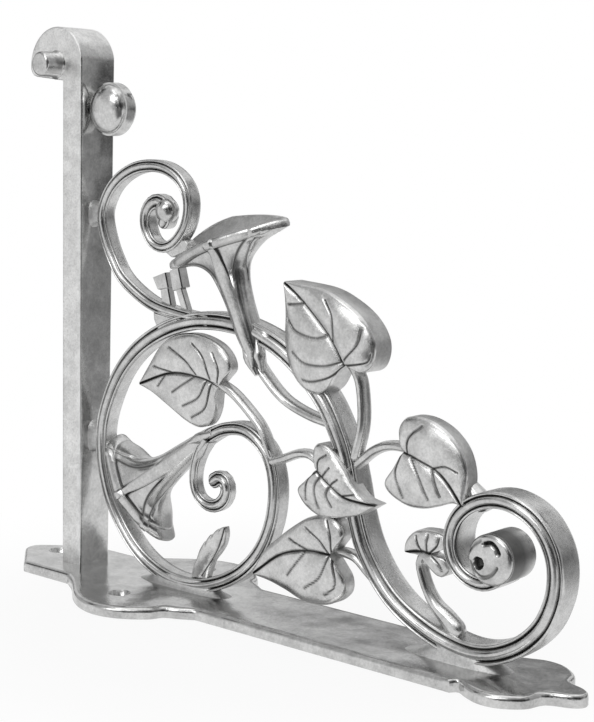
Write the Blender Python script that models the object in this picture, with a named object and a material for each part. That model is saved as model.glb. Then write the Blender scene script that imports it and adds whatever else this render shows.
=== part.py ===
"""Cast aluminium shelf bracket with a morning glory vine, standing on its wall plate.

The bracket stands as it was photographed: the wall plate lies at the bottom with its underside at
zero height, the arm that carries the shelf rises at the low end of X, and the vine scrolls between
them. X runs along the plate from the arm to the volute, Y runs through the thickness from the front
face of the vine to its back, and Z is up. Sizes are in millimetres and are scaled to metres. The
outlines are drawn with X measured from the outer side of the arm, and the finished casting is then
moved so that the middle of its plate is at the origin.
"""
import math

import bmesh
import bpy
from mathutils import Vector

MM = 0.001

# Wall plate
PLATE_HALF_WIDTH = 21.0
PLATE_THICKNESS = 4.8
PLATE_CHAMFER = 0.9
NOSE_TIP_X = -30.0
NOSE_SHOULDER_X = -10.0
NOSE_RADIUS = 7.0
EAR_START_X = 19.0
EAR_CREST_X = 61.0
EAR_END_X = 96.0
EAR_REACH = 44.0
TOE_NOTCH_X = 222.0
TOE_CREST_X = 237.0
TOE_REACH = 24.0
TOE_TIP_X = 264.0

# Countersunk screw holes through the plate: centre X and Y
SCREW_HOLES = ((57.0, -26.0), (57.0, 26.0), (-13.5, 3.0))
SCREW_HEAD_RADIUS = 4.75
SCREW_SHANK_RADIUS = 2.6
COUNTERSINK_DEPTH = 3.0

# Arm that carries the shelf, with its curled head
ARM_OUTER_X = 0.9
ARM_INNER_X = 13.0
ARM_FRONT_Y = -7.9
ARM_BACK_Y_TOP = 11.6
ARM_BACK_Y_FOOT = 9.0
HEAD_CENTRE = (-3.3, 223.0)
HEAD_RADIUS = 16.8
STOP_LOW = 216.8
STOP_HIGH = 218.6
STOP_CORNER_RADIUS = 3.6
EYE_CENTRE = (-3.3, 223.6)
EYE_RADIUS = 5.2
EYE_FRONT_REACH = 9.5
EYE_BACK_REACH = 1.2

# Round knob on the inner face of the arm
KNOB_CENTRE = (24.0, 204.8)
KNOB_RADIUS = 11.3
KNOB_HALF_BELT = 2.6
KNOB_DOME_RADIUS = 10.6
KNOB_DOME = 4.8

# Vine: centre lines as X and Z of the crest, with the half width and half depth of the stem
UPPER_SCROLL = (
    (84.0, 119.5), (66.2, 120.9), (50.0, 124.1), (34.5, 132.6), (27.0, 141.8),
    (22.4, 151.4), (20.6, 160.5), (24.2, 169.2), (31.0, 175.9), (40.1, 180.2), (49.6, 181.6),
    (58.4, 180.6), (66.0, 176.9), (70.6, 171.4), (71.9, 164.9), (70.3, 157.9), (66.3, 152.4),
    (61.6, 149.0), (55.9, 148.0), (50.6, 150.3), (47.3, 155.6), (46.9, 161.0), (49.8, 165.3),
    (54.4, 167.0), (58.4, 165.4), (59.4, 162.0),
)
UPPER_SCROLL_HALF_WIDTHS = (2.2, 2.7, 2.8, 2.6, 2.5, 2.2, 3.2)
UPPER_SCROLL_HALF_DEPTH = 3.5
UPPER_SCROLL_MIDDLE_Y = -0.7
LOWER_SCROLL = (
    (77.0, 66.3), (85.9, 72.3), (92.5, 75.6), (100.8, 77.1), (107.3, 76.0), (113.8, 72.0),
    (118.2, 66.6), (120.6, 59.1), (121.0, 51.1), (119.6, 41.9), (115.9, 32.4), (109.9, 23.9),
    (101.6, 16.6), (90.9, 10.9), (79.5, 7.7), (66.0, 7.3), (53.6, 10.4), (42.9, 16.4),
    (34.1, 25.1), (27.4, 34.7), (23.4, 44.5), (21.0, 55.3), (21.2, 68.7), (25.6, 81.5),
    (32.3, 93.1), (41.2, 102.6), (51.6, 109.8), (63.4, 115.3), (74.9, 118.5), (84.4, 119.6),
)
MAIN_STEM = (
    (94.6, 119.6), (105.5, 118.2), (119.0, 114.0), (129.6, 108.3), (138.5, 101.4), (146.0, 93.8),
    (151.6, 85.5), (156.4, 76.1), (160.0, 64.6), (162.8, 53.3), (166.4, 43.0),
    (170.4, 35.8), (175.8, 28.7), (182.9, 22.2), (191.5, 17.0), (202.4, 12.6), (214.0, 10.2),
    (223.6, 10.6), (232.4, 13.6), (240.6, 18.8), (247.4, 26.4), (251.4, 36.0), (252.3, 44.4),
    (251.1, 51.8), (247.8, 58.4), (242.7, 63.8), (236.0, 67.2), (229.2, 68.4), (222.4, 67.5),
    (216.2, 64.6), (211.4, 60.0), (208.8, 54.4), (208.5, 48.4), (211.0, 42.4), (216.4, 38.2),
    (223.4, 37.2), (229.6, 40.2), (233.2, 45.6), (232.6, 51.4),
)
STEM_HALF_WIDTHS = (2.6, 2.9, 3.0, 3.1, 3.1, 3.4, 3.8, 4.1, 4.1, 4.0, 3.6, 3.0, 2.5)
STEM_HALF_DEPTHS = (4.0, 4.2, 4.2, 4.2, 4.4, 4.9, 5.4, 5.8, 6.2, 6.4, 6.8, 7.4, 8.2)
TENDRIL = (
    (84.0, 70.6), (79.8, 63.5), (78.2, 56.0), (78.4, 49.7), (80.8, 45.0), (85.4, 42.8),
    (90.9, 43.3), (95.6, 46.6), (97.4, 51.0), (95.4, 54.8), (91.8, 55.2),
)
TENDRIL_HALF_WIDTHS = (2.6, 2.2, 2.1, 2.2, 2.5)
TENDRIL_HALF_DEPTHS = (3.4, 2.9, 2.4, 2.1, 2.1)
TENDRIL_MIDDLE_Y = -1.5

# Rolled eye that fills the last turn of the volute: centre, Y and radius at each step
VOLUTE_EYE_CENTRE = (227.2, 46.8)
VOLUTE_EYE_STATIONS = ((-9.4, 5.2), (-8.6, 8.0), (7.6, 8.2), (8.4, 6.4))

# Plain round stems: centre line, half width, half depth, Y of the middle
ROUND_STEMS = {
    "flower_twig": (((106.6, 108.4), (114.8, 99.5), (124.8, 91.6), (138.4, 86.8),
                     (152.6, 84.6)), 2.1, 3.6, -0.4),
    "large_leaf_stalk": (((157.5, 111.0), (162.4, 105.0), (164.3, 96.9), (164.6, 86.6),
                          (161.8, 74.6)), 2.2, 3.3, -1.8),
    "upper_leaf_stalk": (((86.0, 95.4), (97.0, 91.2), (107.4, 83.7), (113.6, 77.6),
                          (118.4, 68.4)), 2.1, 3.0, -0.8),
    "right_leaf_stalk": (((190.0, 79.4), (183.8, 80.8), (176.4, 80.4), (169.2, 77.2),
                          (160.0, 69.4)), 2.0, 3.2, -1.0),
    "middle_leaf_stalk": (((148.0, 66.0), (143.5, 69.2), (138.6, 71.6), (132.7, 71.2),
                           (125.2, 68.2), (118.6, 65.8)), 1.9, 3.0, -1.0),
    "lower_leaf_stalk": (((150.0, 35.0), (156.8, 35.8), (163.0, 34.6), (168.4, 30.6),
                          (176.0, 25.0)), 2.0, 3.2, -1.0),
    "sprig_stalk": (((197.0, 43.4), (194.0, 36.0), (196.6, 27.4), (204.4, 20.6),
                     (214.0, 13.0)), 2.4, 3.2, -0.8),
}

# Heart shaped leaves: navel, midrib to the tip, left edge and right edge from the notch to the
# tip, as X and Z, then the Y of the front edge, the Y of the back and the height of the dome
LEAVES = {
    "large_leaf": dict(
        midrib=((158.9, 109.2), (151.3, 119.9), (139.5, 130.6), (127.9, 139.1)),
        left=((154.6, 106.0), (150.6, 99.6), (145.1, 96.6), (138.4, 98.0), (132.9, 102.6),
              (129.6, 109.3), (128.4, 117.0), (128.6, 127.0), (127.9, 139.1)),
        right=((161.6, 109.6), (166.0, 107.2), (170.6, 109.6), (172.6, 115.6), (171.2, 121.6),
               (165.9, 128.0), (157.2, 133.4), (145.9, 137.4), (127.9, 139.1)),
        front=-6.6, back=4.2, dome=2.6),
    "upper_leaf": dict(
        midrib=((91.1, 93.6), (81.0, 95.9), (64.0, 96.0), (44.9, 89.2)),
        left=((90.6, 89.8), (89.4, 82.4), (85.8, 77.0), (79.6, 75.0), (72.7, 76.6), (66.6, 79.4),
              (60.4, 82.6), (52.4, 86.6), (44.9, 89.2)),
        right=((93.8, 96.4), (97.6, 101.0), (95.6, 106.6), (89.1, 111.2), (77.8, 113.7),
               (66.3, 112.2), (57.4, 107.1), (50.4, 97.6), (44.9, 89.2)),
        front=-3.6, back=1.2, dome=2.0),
    "right_leaf": dict(
        midrib=((187.0, 80.2), (194.0, 78.2), (204.0, 74.2), (213.9, 64.0)),
        left=((185.0, 77.6), (181.6, 72.0), (178.3, 67.0), (181.0, 63.2), (188.7, 60.2),
              (196.0, 60.2), (202.6, 62.0), (208.9, 64.2), (213.9, 64.0)),
        right=((185.2, 83.8), (184.6, 89.0), (187.4, 93.0), (193.4, 94.0), (200.2, 92.8),
               (207.2, 89.2), (212.9, 82.9), (215.4, 74.1), (213.9, 64.0)),
        front=-6.4, back=0.6, dome=2.2),
    "middle_leaf": dict(
        midrib=((146.0, 67.4), (153.0, 62.6), (161.4, 58.6), (175.8, 58.1)),
        left=((144.0, 65.4), (140.2, 62.0), (136.6, 58.0), (140.3, 52.8), (146.9, 49.6),
              (153.4, 49.6), (160.0, 50.8), (167.8, 53.4), (175.8, 58.1)),
        right=((145.8, 70.2), (144.4, 74.0), (145.6, 77.4), (149.6, 78.0), (154.6, 75.4),
               (159.6, 70.4), (164.7, 63.8), (169.4, 59.6), (175.8, 58.1)),
        front=-7.0, back=-0.6, dome=1.8),
    "lower_leaf": dict(
        midrib=((153.4, 35.2), (142.0, 34.8), (128.0, 30.4), (113.9, 20.0)),
        left=((156.4, 32.0), (160.6, 26.6), (160.6, 21.0), (155.4, 16.2), (147.6, 14.0),
              (139.3, 14.2), (131.5, 16.6), (122.6, 18.8), (113.9, 20.0)),
        right=((156.2, 38.2), (159.6, 43.6), (157.0, 48.4), (150.9, 50.0), (143.0, 48.4),
               (135.0, 43.6), (127.0, 37.4), (119.0, 30.0), (113.9, 20.0)),
        front=-6.6, back=0.0, dome=2.0),
    "sprig_leaf": dict(
        midrib=((198.8, 43.4), (195.6, 43.8), (191.8, 43.2), (187.2, 42.0)),
        left=((200.4, 42.4), (205.6, 42.4), (207.0, 38.4), (203.6, 35.4), (199.8, 37.4),
              (196.8, 40.8), (193.4, 42.0), (190.4, 42.0), (187.2, 42.0)),
        right=((200.8, 45.0), (205.0, 46.4), (205.8, 49.8), (202.2, 51.8), (197.0, 52.0),
               (192.4, 51.2), (189.2, 48.8), (187.4, 45.6), (187.2, 42.0)),
        front=-4.2, back=2.2, dome=1.2),
    "flame_leaf": dict(
        midrib=((79.6, 13.0), (84.6, 20.6), (89.0, 27.4), (94.7, 35.3)),
        left=((75.6, 10.2), (76.6, 15.0), (78.6, 19.2), (80.5, 23.4), (83.5, 27.6), (86.0, 30.0),
              (88.6, 31.9), (91.6, 33.6), (94.7, 35.3)),
        right=((84.6, 10.6), (86.6, 16.0), (88.8, 20.6), (91.0, 23.2), (92.8, 25.6),
               (94.2, 28.0), (94.9, 30.4), (95.2, 32.8), (94.7, 35.3)),
        front=-2.4, back=0.4, dome=1.0),
}

# Trumpet flowers: centre line from the calyx to the mouth, half width across it at each point, half
# depth of the neck and of the rim, Y of the middle, direction of the rim, how far the back of
# the rim rises and its two ends droop along the axis, and how round it is across, where one is round
# and less is squarer
FLOWERS = {
    "upper_flower": dict(
        axis=((111.6, 103.6), (109.3, 109.8), (105.4, 117.9), (101.0, 127.6), (96.9, 136.7),
              (94.4, 143.6), (92.8, 149.2), (91.8, 152.6)),
        halves=(2.2, 4.2, 5.6, 6.0, 7.6, 11.0, 19.0, 31.0), neck_depth=4.4, rim_depth=8.6,
        middle_y=-2.4, rim_slope=(1.0, 0.3), back_lift=2.6, droop=5.0, squareness=0.8),
    "lower_flower": dict(
        axis=((87.0, 74.0), (81.0, 70.2), (69.6, 62.0), (57.6, 53.4), (48.0, 47.4), (42.8, 44.4),
              (39.6, 42.4)),
        halves=(2.6, 3.6, 5.2, 7.0, 10.6, 16.4, 24.6), neck_depth=3.8, rim_depth=9.0,
        middle_y=0.4, rim_slope=(0.62, -0.78), back_lift=-1.0, droop=1.0, squareness=0.5),
}
RIM_THICKNESS = 3.4
RIM_EDGE = 2.4
MOUTH_HOLLOW = 5.0
PETALS = 5
PETAL_SEAM = 0.07

# Two stepped posts between the upper flower and the upper scroll: X and Z of the foot and the
# top, half width of the shaft, and how long the wider head is
POSTS = (((58.0, 120.6), (54.6, 136.4), 2.7, 6.4), ((67.6, 119.6), (61.6, 138.4), 2.5, 8.6))
POST_HALF_DEPTH = 2.8
POST_HEAD_SPREAD = 1.3

# Webs that fill the sharp corners of the casting, as X and Z corners with a half depth
WEBS = (
    (((48.0, 122.0), (60.0, 124.0), (70.0, 118.0), (60.0, 111.0), (56.4, 114.6), (54.0, 118.2)), 2.4),
    (((11.0, 171.0), (21.6, 167.6), (20.4, 157.0), (11.0, 153.6)), 2.8),
    (((11.0, 73.0), (21.0, 69.0), (20.4, 56.0), (11.0, 51.0)), 2.8),
    (((44.0, 3.6), (50.0, 10.4), (80.0, 7.6), (92.0, 9.6), (97.0, 3.6)), 3.4),
    (((182.0, 3.6), (197.0, 11.0), (214.0, 8.6), (229.0, 10.4), (236.0, 3.6)), 4.6),
    (((11.5, 209.0), (18.0, 208.6), (18.0, 200.6), (11.5, 200.2)), 3.2),
    (((58.0, 148.4), (62.0, 152.4), (75.0, 156.0), (78.0, 151.0), (66.0, 144.0)), 3.0),
    (((154.0, 70.0), (163.0, 74.0), (166.6, 66.0), (166.0, 52.0), (160.0, 50.0)), 3.6),
    (((212.0, 76.0), (219.0, 70.0), (219.0, 64.0), (212.0, 62.0), (208.0, 66.0)), 3.2),
)

# Points across one stem, from one side to the other: a bold middle reed between two thin beads
REEDED_FRONT = ((-1.0, -0.35), (-0.84, -0.82), (-0.58, -0.6), (0.0, -1.0), (0.58, -0.6),
                (0.84, -0.82), (1.0, -0.35))
PLAIN_BACK = ((1.0, 0.5), (0.5, 1.0), (-0.5, 1.0), (-1.0, 0.5))
REEDED_SECTION = REEDED_FRONT + PLAIN_BACK
ROUND_SECTION_SIDES = 7
ROUND_END_TURNS = (35.0, 65.0)

METAL_COLOUR = (0.78, 0.78, 0.77, 1.0)
METAL_ROUGHNESS = 0.2


def clear_scene():
    for item in list(bpy.data.objects):
        bpy.data.objects.remove(item, do_unlink=True)


def polished_metal():
    material = bpy.data.materials.new("cast_aluminium")
    material.use_nodes = True
    shader = material.node_tree.nodes["Principled BSDF"]
    shader.inputs["Base Color"].default_value = METAL_COLOUR
    shader.inputs["Metallic"].default_value = 1.0
    shader.inputs["Roughness"].default_value = METAL_ROUGHNESS
    material.diffuse_color = METAL_COLOUR
    return material


def solid(name, points, faces):
    """A closed mesh from points in millimetres, with its faces turned outwards."""
    mesh = bpy.data.meshes.new(name)
    mesh.from_pydata([Vector(p) * MM for p in points], [], faces)
    work = bmesh.new()
    work.from_mesh(mesh)
    bmesh.ops.recalc_face_normals(work, faces=work.faces)
    work.to_mesh(mesh)
    work.free()
    item = bpy.data.objects.new(name, mesh)
    bpy.context.scene.collection.objects.link(item)
    return item


def smooth_line(knots, spans):
    """A smooth curve through the knots, with this many steps between neighbours."""
    knots = [Vector(k) for k in knots]
    ends = [knots[0] * 2 - knots[1]] + knots + [knots[-1] * 2 - knots[-2]]
    line = []
    for i in range(1, len(ends) - 2):
        a, b, c, d = ends[i - 1:i + 3]
        for step in range(spans):
            t = step / spans
            line.append(0.5 * (2 * b + (c - a) * t + (2 * a - 5 * b + 4 * c - d) * t * t
                               + (3 * b - a - 3 * c + d) * t ** 3))
    line.append(knots[-1])
    return line


def along(values, fraction):
    """The value at a fraction of the way through a list of evenly spaced values."""
    place = min(max(fraction, 0.0), 1.0) * (len(values) - 1)
    low = min(int(place), len(values) - 2)
    return values[low] + (values[low + 1] - values[low]) * (place - low)


def loft(name, rings):
    """A closed solid through rings of equally many points."""
    sides = len(rings[0])
    faces = [tuple(reversed(range(sides)))]
    for row in range(len(rings) - 1):
        for k in range(sides):
            after = (k + 1) % sides
            faces.append((row * sides + k, row * sides + after,
                          (row + 1) * sides + after, (row + 1) * sides + k))
    last = (len(rings) - 1) * sides
    faces.append(tuple(last + k for k in range(sides)))
    return solid(name, [p for ring in rings for p in ring], faces)


def stem(name, line, half_widths, half_depths, section, middle_y=0.0, round_end=False):
    """A stem swept along a line in the plane of the vine, rounded off at its far end."""
    rings = []
    count = len(line)
    for i, place in enumerate(line):
        ahead = line[min(i + 1, count - 1)]
        behind = line[max(i - 1, 0)]
        heading = (ahead - behind).normalized()
        across = Vector((heading.y, -heading.x))
        fraction = i / (count - 1)
        width = along(half_widths, fraction)
        depth = along(half_depths, fraction)
        rings.append([(place.x + across.x * u * width, middle_y + v * depth,
                       place.y + across.y * u * width) for u, v in section])
    if round_end:
        heading = (line[-1] - line[-2]).normalized()
        across = Vector((heading.y, -heading.x))
        reach = half_widths[-1]
        for turn in ROUND_END_TURNS:
            shrink = math.cos(math.radians(turn))
            place = line[-1] + heading * reach * math.sin(math.radians(turn))
            rings.append([(place.x + across.x * u * reach * shrink,
                           middle_y + v * half_depths[-1] * shrink,
                           place.y + across.y * u * reach * shrink) for u, v in section])
    return loft(name, rings)


def prism(name, corners, low_y, high_y):
    """A flat outline in X and Z with a thickness in Y."""
    count = len(corners)
    points = [(x, low_y, z) for x, z in corners] + [(x, high_y, z) for x, z in corners]
    faces = [tuple(range(count)), tuple(range(2 * count - 1, count - 1, -1))]
    faces += [(k, k + count, (k + 1) % count + count, (k + 1) % count) for k in range(count)]
    return solid(name, points, faces)


def arc(centre, radius, start, end, steps):
    """Points on a circle from one angle in degrees to another."""
    points = []
    for i in range(steps + 1):
        angle = math.radians(start + (end - start) * i / steps)
        points.append((centre[0] + radius * math.cos(angle), centre[1] + radius * math.sin(angle)))
    return points


def plate_side():
    """One long side of the plate from the nose to the toe, as X and reach from the middle."""
    nose = [(NOSE_TIP_X + NOSE_RADIUS * (1 - math.cos(a)), NOSE_RADIUS * math.sin(a))
            for a in (math.radians(t) for t in (25.0, 50.0))]
    ear = smooth_line(((EAR_START_X, PLATE_HALF_WIDTH), (EAR_START_X + 9.0, 26.6),
                       (EAR_START_X + 21.0, 36.4), (EAR_CREST_X - 11.0, EAR_REACH - 2.0),
                       (EAR_CREST_X, EAR_REACH), (EAR_CREST_X + 11.0, EAR_REACH - 3.0),
                       (EAR_CREST_X + 20.5, 33.6), (EAR_CREST_X + 23.5, 27.6),
                       (EAR_CREST_X + 29.0, 24.6), (EAR_END_X, PLATE_HALF_WIDTH)), 2)
    toe = smooth_line(((TOE_NOTCH_X - 1.6, PLATE_HALF_WIDTH), (TOE_NOTCH_X + 0.6, 18.4),
                       (TOE_NOTCH_X + 5.0, 21.0), (TOE_CREST_X - 3.0, TOE_REACH - 0.3),
                       (TOE_CREST_X + 5.0, TOE_REACH - 1.4), (TOE_CREST_X + 12.6, 16.6),
                       (TOE_CREST_X + 15.4, 8.6), (TOE_TIP_X - 4.0, 5.0),
                       (TOE_TIP_X - 0.8, 2.6)), 2)
    return nose + [(NOSE_SHOULDER_X, PLATE_HALF_WIDTH)] + [tuple(p) for p in ear + toe]


def wall_plate():
    side = plate_side()
    front = [(x, -reach) for x, reach in side]
    back = [(x, reach) for x, reach in reversed(side)]
    outline = [(NOSE_TIP_X, 0.0)] + front + [(TOE_TIP_X, 0.0)] + back
    plate = bmesh.new()
    base = plate.faces.new([plate.verts.new(Vector((x, y, 0.0)) * MM) for x, y in outline])
    grown = bmesh.ops.extrude_face_region(plate, geom=[base])
    top = [v for v in grown["geom"] if isinstance(v, bmesh.types.BMVert)]
    bmesh.ops.translate(plate, verts=top, vec=Vector((0.0, 0.0, PLATE_THICKNESS * MM)))
    bmesh.ops.recalc_face_normals(plate, faces=plate.faces)
    rim = [e for e in plate.edges if all(v in top for v in e.verts)]
    bmesh.ops.bevel(plate, geom=rim, offset=PLATE_CHAMFER * MM, segments=1, affect="EDGES")
    mesh = bpy.data.meshes.new("wall_plate")
    plate.to_mesh(mesh)
    plate.free()
    item = bpy.data.objects.new("wall_plate", mesh)
    bpy.context.scene.collection.objects.link(item)
    return item


def screw_cutter(number, centre):
    """The space of one countersunk screw, past both faces of the plate."""
    levels = ((-2.0, SCREW_SHANK_RADIUS),
              (PLATE_THICKNESS - COUNTERSINK_DEPTH, SCREW_SHANK_RADIUS),
              (PLATE_THICKNESS, SCREW_HEAD_RADIUS), (PLATE_THICKNESS + 2.0, SCREW_HEAD_RADIUS))
    rings = [[(x, y, height) for x, y in arc(centre, radius, 0.0, 337.5, 15)]
             for height, radius in levels]
    return loft("screw_space_%d" % number, rings)


def arm():
    """The straight arm and its curled head as one outline, with a slight taper to the foot."""
    x = HEAD_CENTRE[0]
    start = math.degrees(math.acos((ARM_INNER_X - x) / HEAD_RADIUS))
    curl = arc(HEAD_CENTRE, HEAD_RADIUS, start, 184.0, 16)
    corner_x = x - HEAD_RADIUS + STOP_CORNER_RADIUS + 0.3
    corner = arc((corner_x, STOP_HIGH + STOP_CORNER_RADIUS), STOP_CORNER_RADIUS, 190.0, 266.0, 3)
    outline = [(ARM_INNER_X, 2.0)] + curl + corner + [(ARM_OUTER_X, STOP_LOW), (ARM_OUTER_X, 2.0)]
    item = prism("arm", outline, ARM_FRONT_Y, ARM_BACK_Y_TOP)
    for vertex in item.data.vertices:
        if vertex.co.y > 0 and vertex.co.z < 10.0 * MM:
            vertex.co.y = ARM_BACK_Y_FOOT * MM
    return item


def turned(name, centre, stations):
    """A round solid about a Y axis, from stations of Y and radius."""
    rings = []
    for y, radius in stations:
        rings.append([(px, y, pz) for px, pz in arc(centre, radius, 0.0, 340.0, 17)])
    return loft(name, rings)


def knob():
    angles = (78.0, 56.0, 32.0)
    front = [(-KNOB_HALF_BELT - KNOB_DOME * math.sin(math.radians(a)),
              KNOB_DOME_RADIUS * math.cos(math.radians(a))) for a in angles]
    belt = [(-KNOB_HALF_BELT, KNOB_RADIUS), (KNOB_HALF_BELT, KNOB_RADIUS)]
    back = [(-y, radius) for y, radius in reversed(front)]
    return turned("knob", KNOB_CENTRE, front + belt + back)


def eye_of_curl():
    front = ARM_FRONT_Y - EYE_FRONT_REACH
    stations = ((front, EYE_RADIUS - 0.9), (front + 0.8, EYE_RADIUS), (0.0, EYE_RADIUS + 0.5),
                (ARM_BACK_Y_TOP + EYE_BACK_REACH, EYE_RADIUS + 0.5))
    return turned("eye_of_curl", EYE_CENTRE, stations)


def leaf(name, midrib, left, right, front, back, dome):
    """A heart shaped leaf with a domed front, a sunk midrib and a thick side wall."""
    rows = 9
    spine = smooth_line(midrib, 4)
    places = []
    for row in range(rows):
        fraction = (row / (rows - 1)) ** 1.25
        at = fraction * (len(spine) - 1)
        low = min(int(at), len(spine) - 2)
        places.append(spine[low].lerp(spine[low + 1], at - low))
    points = []
    for row in range(rows):
        reach = math.sin(math.pi * min(row + 1.2, rows - 1) / (rows + 0.6))
        middle = places[row]
        spine_y = front - dome * (0.45 * reach)
        points.append((middle.x, spine_y, middle.y))
        for edge in (left, right):
            rim = Vector(edge[row])
            half = middle.lerp(rim, 0.55)
            points.append((half.x, front - dome * reach, half.y))
            points.append((rim.x, front, rim.y))
    tip = 5 * (rows - 1)
    faces = []
    for row in range(rows - 1):
        a = 5 * row
        b = a + 5
        for inner, outer in ((0, 1), (1, 2), (0, 3), (3, 4)):
            if row < rows - 2:
                faces.append((a + inner, a + outer, b + outer, b + inner))
            elif inner == 0:
                faces.append((a + inner, a + outer, tip))
            else:
                faces.append((a + inner, a + outer, tip))
    rim_loop = [5 * row + 2 for row in range(rows - 1)] + [tip]
    rim_loop += [5 * row + 4 for row in range(rows - 2, -1, -1)] + [0]
    start = len(points)
    points += [(points[i][0], back, points[i][2]) for i in rim_loop]
    count = len(rim_loop)
    for k in range(count):
        after = (k + 1) % count
        if rim_loop[k] in (0, 4) and rim_loop[after] in (0, 2):
            inner = 3 if rim_loop[k] == 4 else 1
            chain = (rim_loop[k], inner, rim_loop[after])
            faces.append(chain + (start + after, start + k))
        else:
            faces.append((rim_loop[k], rim_loop[after], start + after, start + k))
    faces.append(tuple(range(start, start + count)))
    kept = sorted({i for face in faces for i in face})
    renumber = {old: new for new, old in enumerate(kept)}
    return solid(name, [points[i] for i in kept],
                 [tuple(renumber[i] for i in face) for face in faces])


def trumpet(name, axis, halves, neck_depth, rim_depth, middle_y, rim_slope, back_lift, droop,
            squareness):
    """A trumpet flower that flares from its calyx to a lobed rim with a hollow mouth."""
    line = [Vector(p) for p in axis]
    rim = Vector(rim_slope).normalized()
    rings = []
    count = len(line)
    for i, place in enumerate(line):
        heading = (line[min(i + 1, count - 1)] - line[max(i - 1, 0)]).normalized()
        across = Vector((heading.y, -heading.x))
        if across.dot(rim) < 0:
            across.negate()
        flare = (halves[i] - halves[1]) / (halves[-1] - halves[1])
        flare = max(flare, 0.0)
        across = across.lerp(rim, math.sqrt(flare)).normalized()
        depth = neck_depth + (rim_depth - neck_depth) * math.sqrt(flare)
        rings.append(flower_ring(place, across, heading, halves[i], depth, middle_y,
                                 flare, back_lift * flare, droop * flare, squareness))
    heading = (line[-1] - line[-2]).normalized()
    top = line[-1] + heading * RIM_THICKNESS
    hollow = line[-1] + heading * (RIM_THICKNESS - MOUTH_HOLLOW)
    rings.append(flower_ring(top, rim, heading, halves[-1], rim_depth, middle_y,
                             1.0, back_lift, droop, squareness))
    rings.append(flower_ring(top, rim, heading, halves[-1] - RIM_EDGE, rim_depth - RIM_EDGE,
                             middle_y, 1.0, back_lift, droop, squareness))
    rings.append(flower_ring(hollow, rim, heading, halves[-1] * 0.3, rim_depth * 0.36, middle_y,
                             0.4, 0.0, 0.0, squareness))
    return loft(name, rings)


def flower_ring(place, across, heading, half, depth, middle_y, lobes, lift, droop, squareness):
    """One ring of the trumpet, squarish across and drawn in at the seams between its petals."""
    sides = 4 * PETALS
    ring = []
    for k in range(sides):
        angle = 2 * math.pi * k / sides
        petal = 1.0 - PETAL_SEAM * lobes * (1.0 - math.cos(PETALS * angle)) / 2
        c = math.cos(angle)
        s = math.sin(angle)
        u = math.copysign(abs(c) ** squareness, c) * petal
        v = math.copysign(abs(s) ** squareness, s) * petal
        rise = lift * v - droop * u * u
        ring.append((place.x + across.x * u * half + heading.x * rise, middle_y + v * depth,
                     place.y + across.y * u * half + heading.y * rise))
    return ring


def stepped_post(name, foot, top, half_width, head_length):
    """A square post whose head is wider than its shaft."""
    foot = Vector(foot)
    top = Vector(top)
    heading = (top - foot).normalized()
    across = Vector((heading.y, -heading.x))
    shoulder = top - heading * head_length
    wide = half_width + POST_HEAD_SPREAD
    corners = [foot - across * half_width, shoulder - across * half_width,
               shoulder - across * wide, top - across * wide, top + across * wide,
               shoulder + across * wide, shoulder + across * half_width, foot + across * half_width]
    return prism(name, [tuple(c) for c in corners], -POST_HALF_DEPTH, POST_HALF_DEPTH)


def join(target, other, operation):
    """Unites or cuts two solids and removes the second."""
    modifier = target.modifiers.new("join", "BOOLEAN")
    modifier.object = other
    modifier.operation = operation
    modifier.solver = "EXACT"
    shaped = target.evaluated_get(bpy.context.evaluated_depsgraph_get())
    mesh = bpy.data.meshes.new_from_object(shaped)
    target.modifiers.clear()
    target.data = mesh
    bpy.data.objects.remove(other, do_unlink=True)


def vine_parts():
    """Every stem, leaf, flower, post and web of the vine."""
    round_section = arc((0.0, 0.0), 1.0, 0.0, 360.0 - 360.0 / ROUND_SECTION_SIDES,
                        ROUND_SECTION_SIDES - 1)
    parts = [
        stem("vine", smooth_line(LOWER_SCROLL + MAIN_STEM, 2), STEM_HALF_WIDTHS,
             STEM_HALF_DEPTHS, REEDED_SECTION, round_end=True),
        stem("upper_scroll", smooth_line(UPPER_SCROLL, 2), UPPER_SCROLL_HALF_WIDTHS,
             (UPPER_SCROLL_HALF_DEPTH,) * 2, REEDED_SECTION, middle_y=UPPER_SCROLL_MIDDLE_Y,
             round_end=True),
        stem("tendril", smooth_line(TENDRIL, 2), TENDRIL_HALF_WIDTHS, TENDRIL_HALF_DEPTHS,
             REEDED_SECTION, middle_y=TENDRIL_MIDDLE_Y, round_end=True),
    ]
    for name, (knots, width, depth, middle) in ROUND_STEMS.items():
        parts.append(stem(name, smooth_line(knots, 2), (width, width), (depth, depth),
                          round_section, middle_y=middle))
    for name, shape in LEAVES.items():
        parts.append(leaf(name, **shape))
    for name, shape in FLOWERS.items():
        parts.append(trumpet(name, **shape))
    for number, (foot, top, half_width, head_length) in enumerate(POSTS):
        parts.append(stepped_post("post_%d" % number, foot, top, half_width, head_length))
    for number, (corners, half_depth) in enumerate(WEBS):
        parts.append(prism("web_%d" % number, corners, -half_depth, half_depth))
    return parts


def build():
    clear_scene()
    casting = wall_plate()
    for number, centre in enumerate(SCREW_HOLES):
        join(casting, screw_cutter(number, centre), "DIFFERENCE")
    volute_eye = turned("eye_of_volute", VOLUTE_EYE_CENTRE, VOLUTE_EYE_STATIONS)
    for part in [arm(), knob(), eye_of_curl()] + vine_parts() + [volute_eye]:
        join(casting, part, "UNION")
    casting.name = "bracket_casting"
    casting.data.name = "bracket_casting"
    casting.data.materials.clear()
    casting.data.materials.append(polished_metal())
    casting.location.x = -MM * (NOSE_TIP_X + TOE_TIP_X) / 2


build()
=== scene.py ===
import math

import bmesh
import bpy
from mathutils import Matrix, Vector


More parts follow.
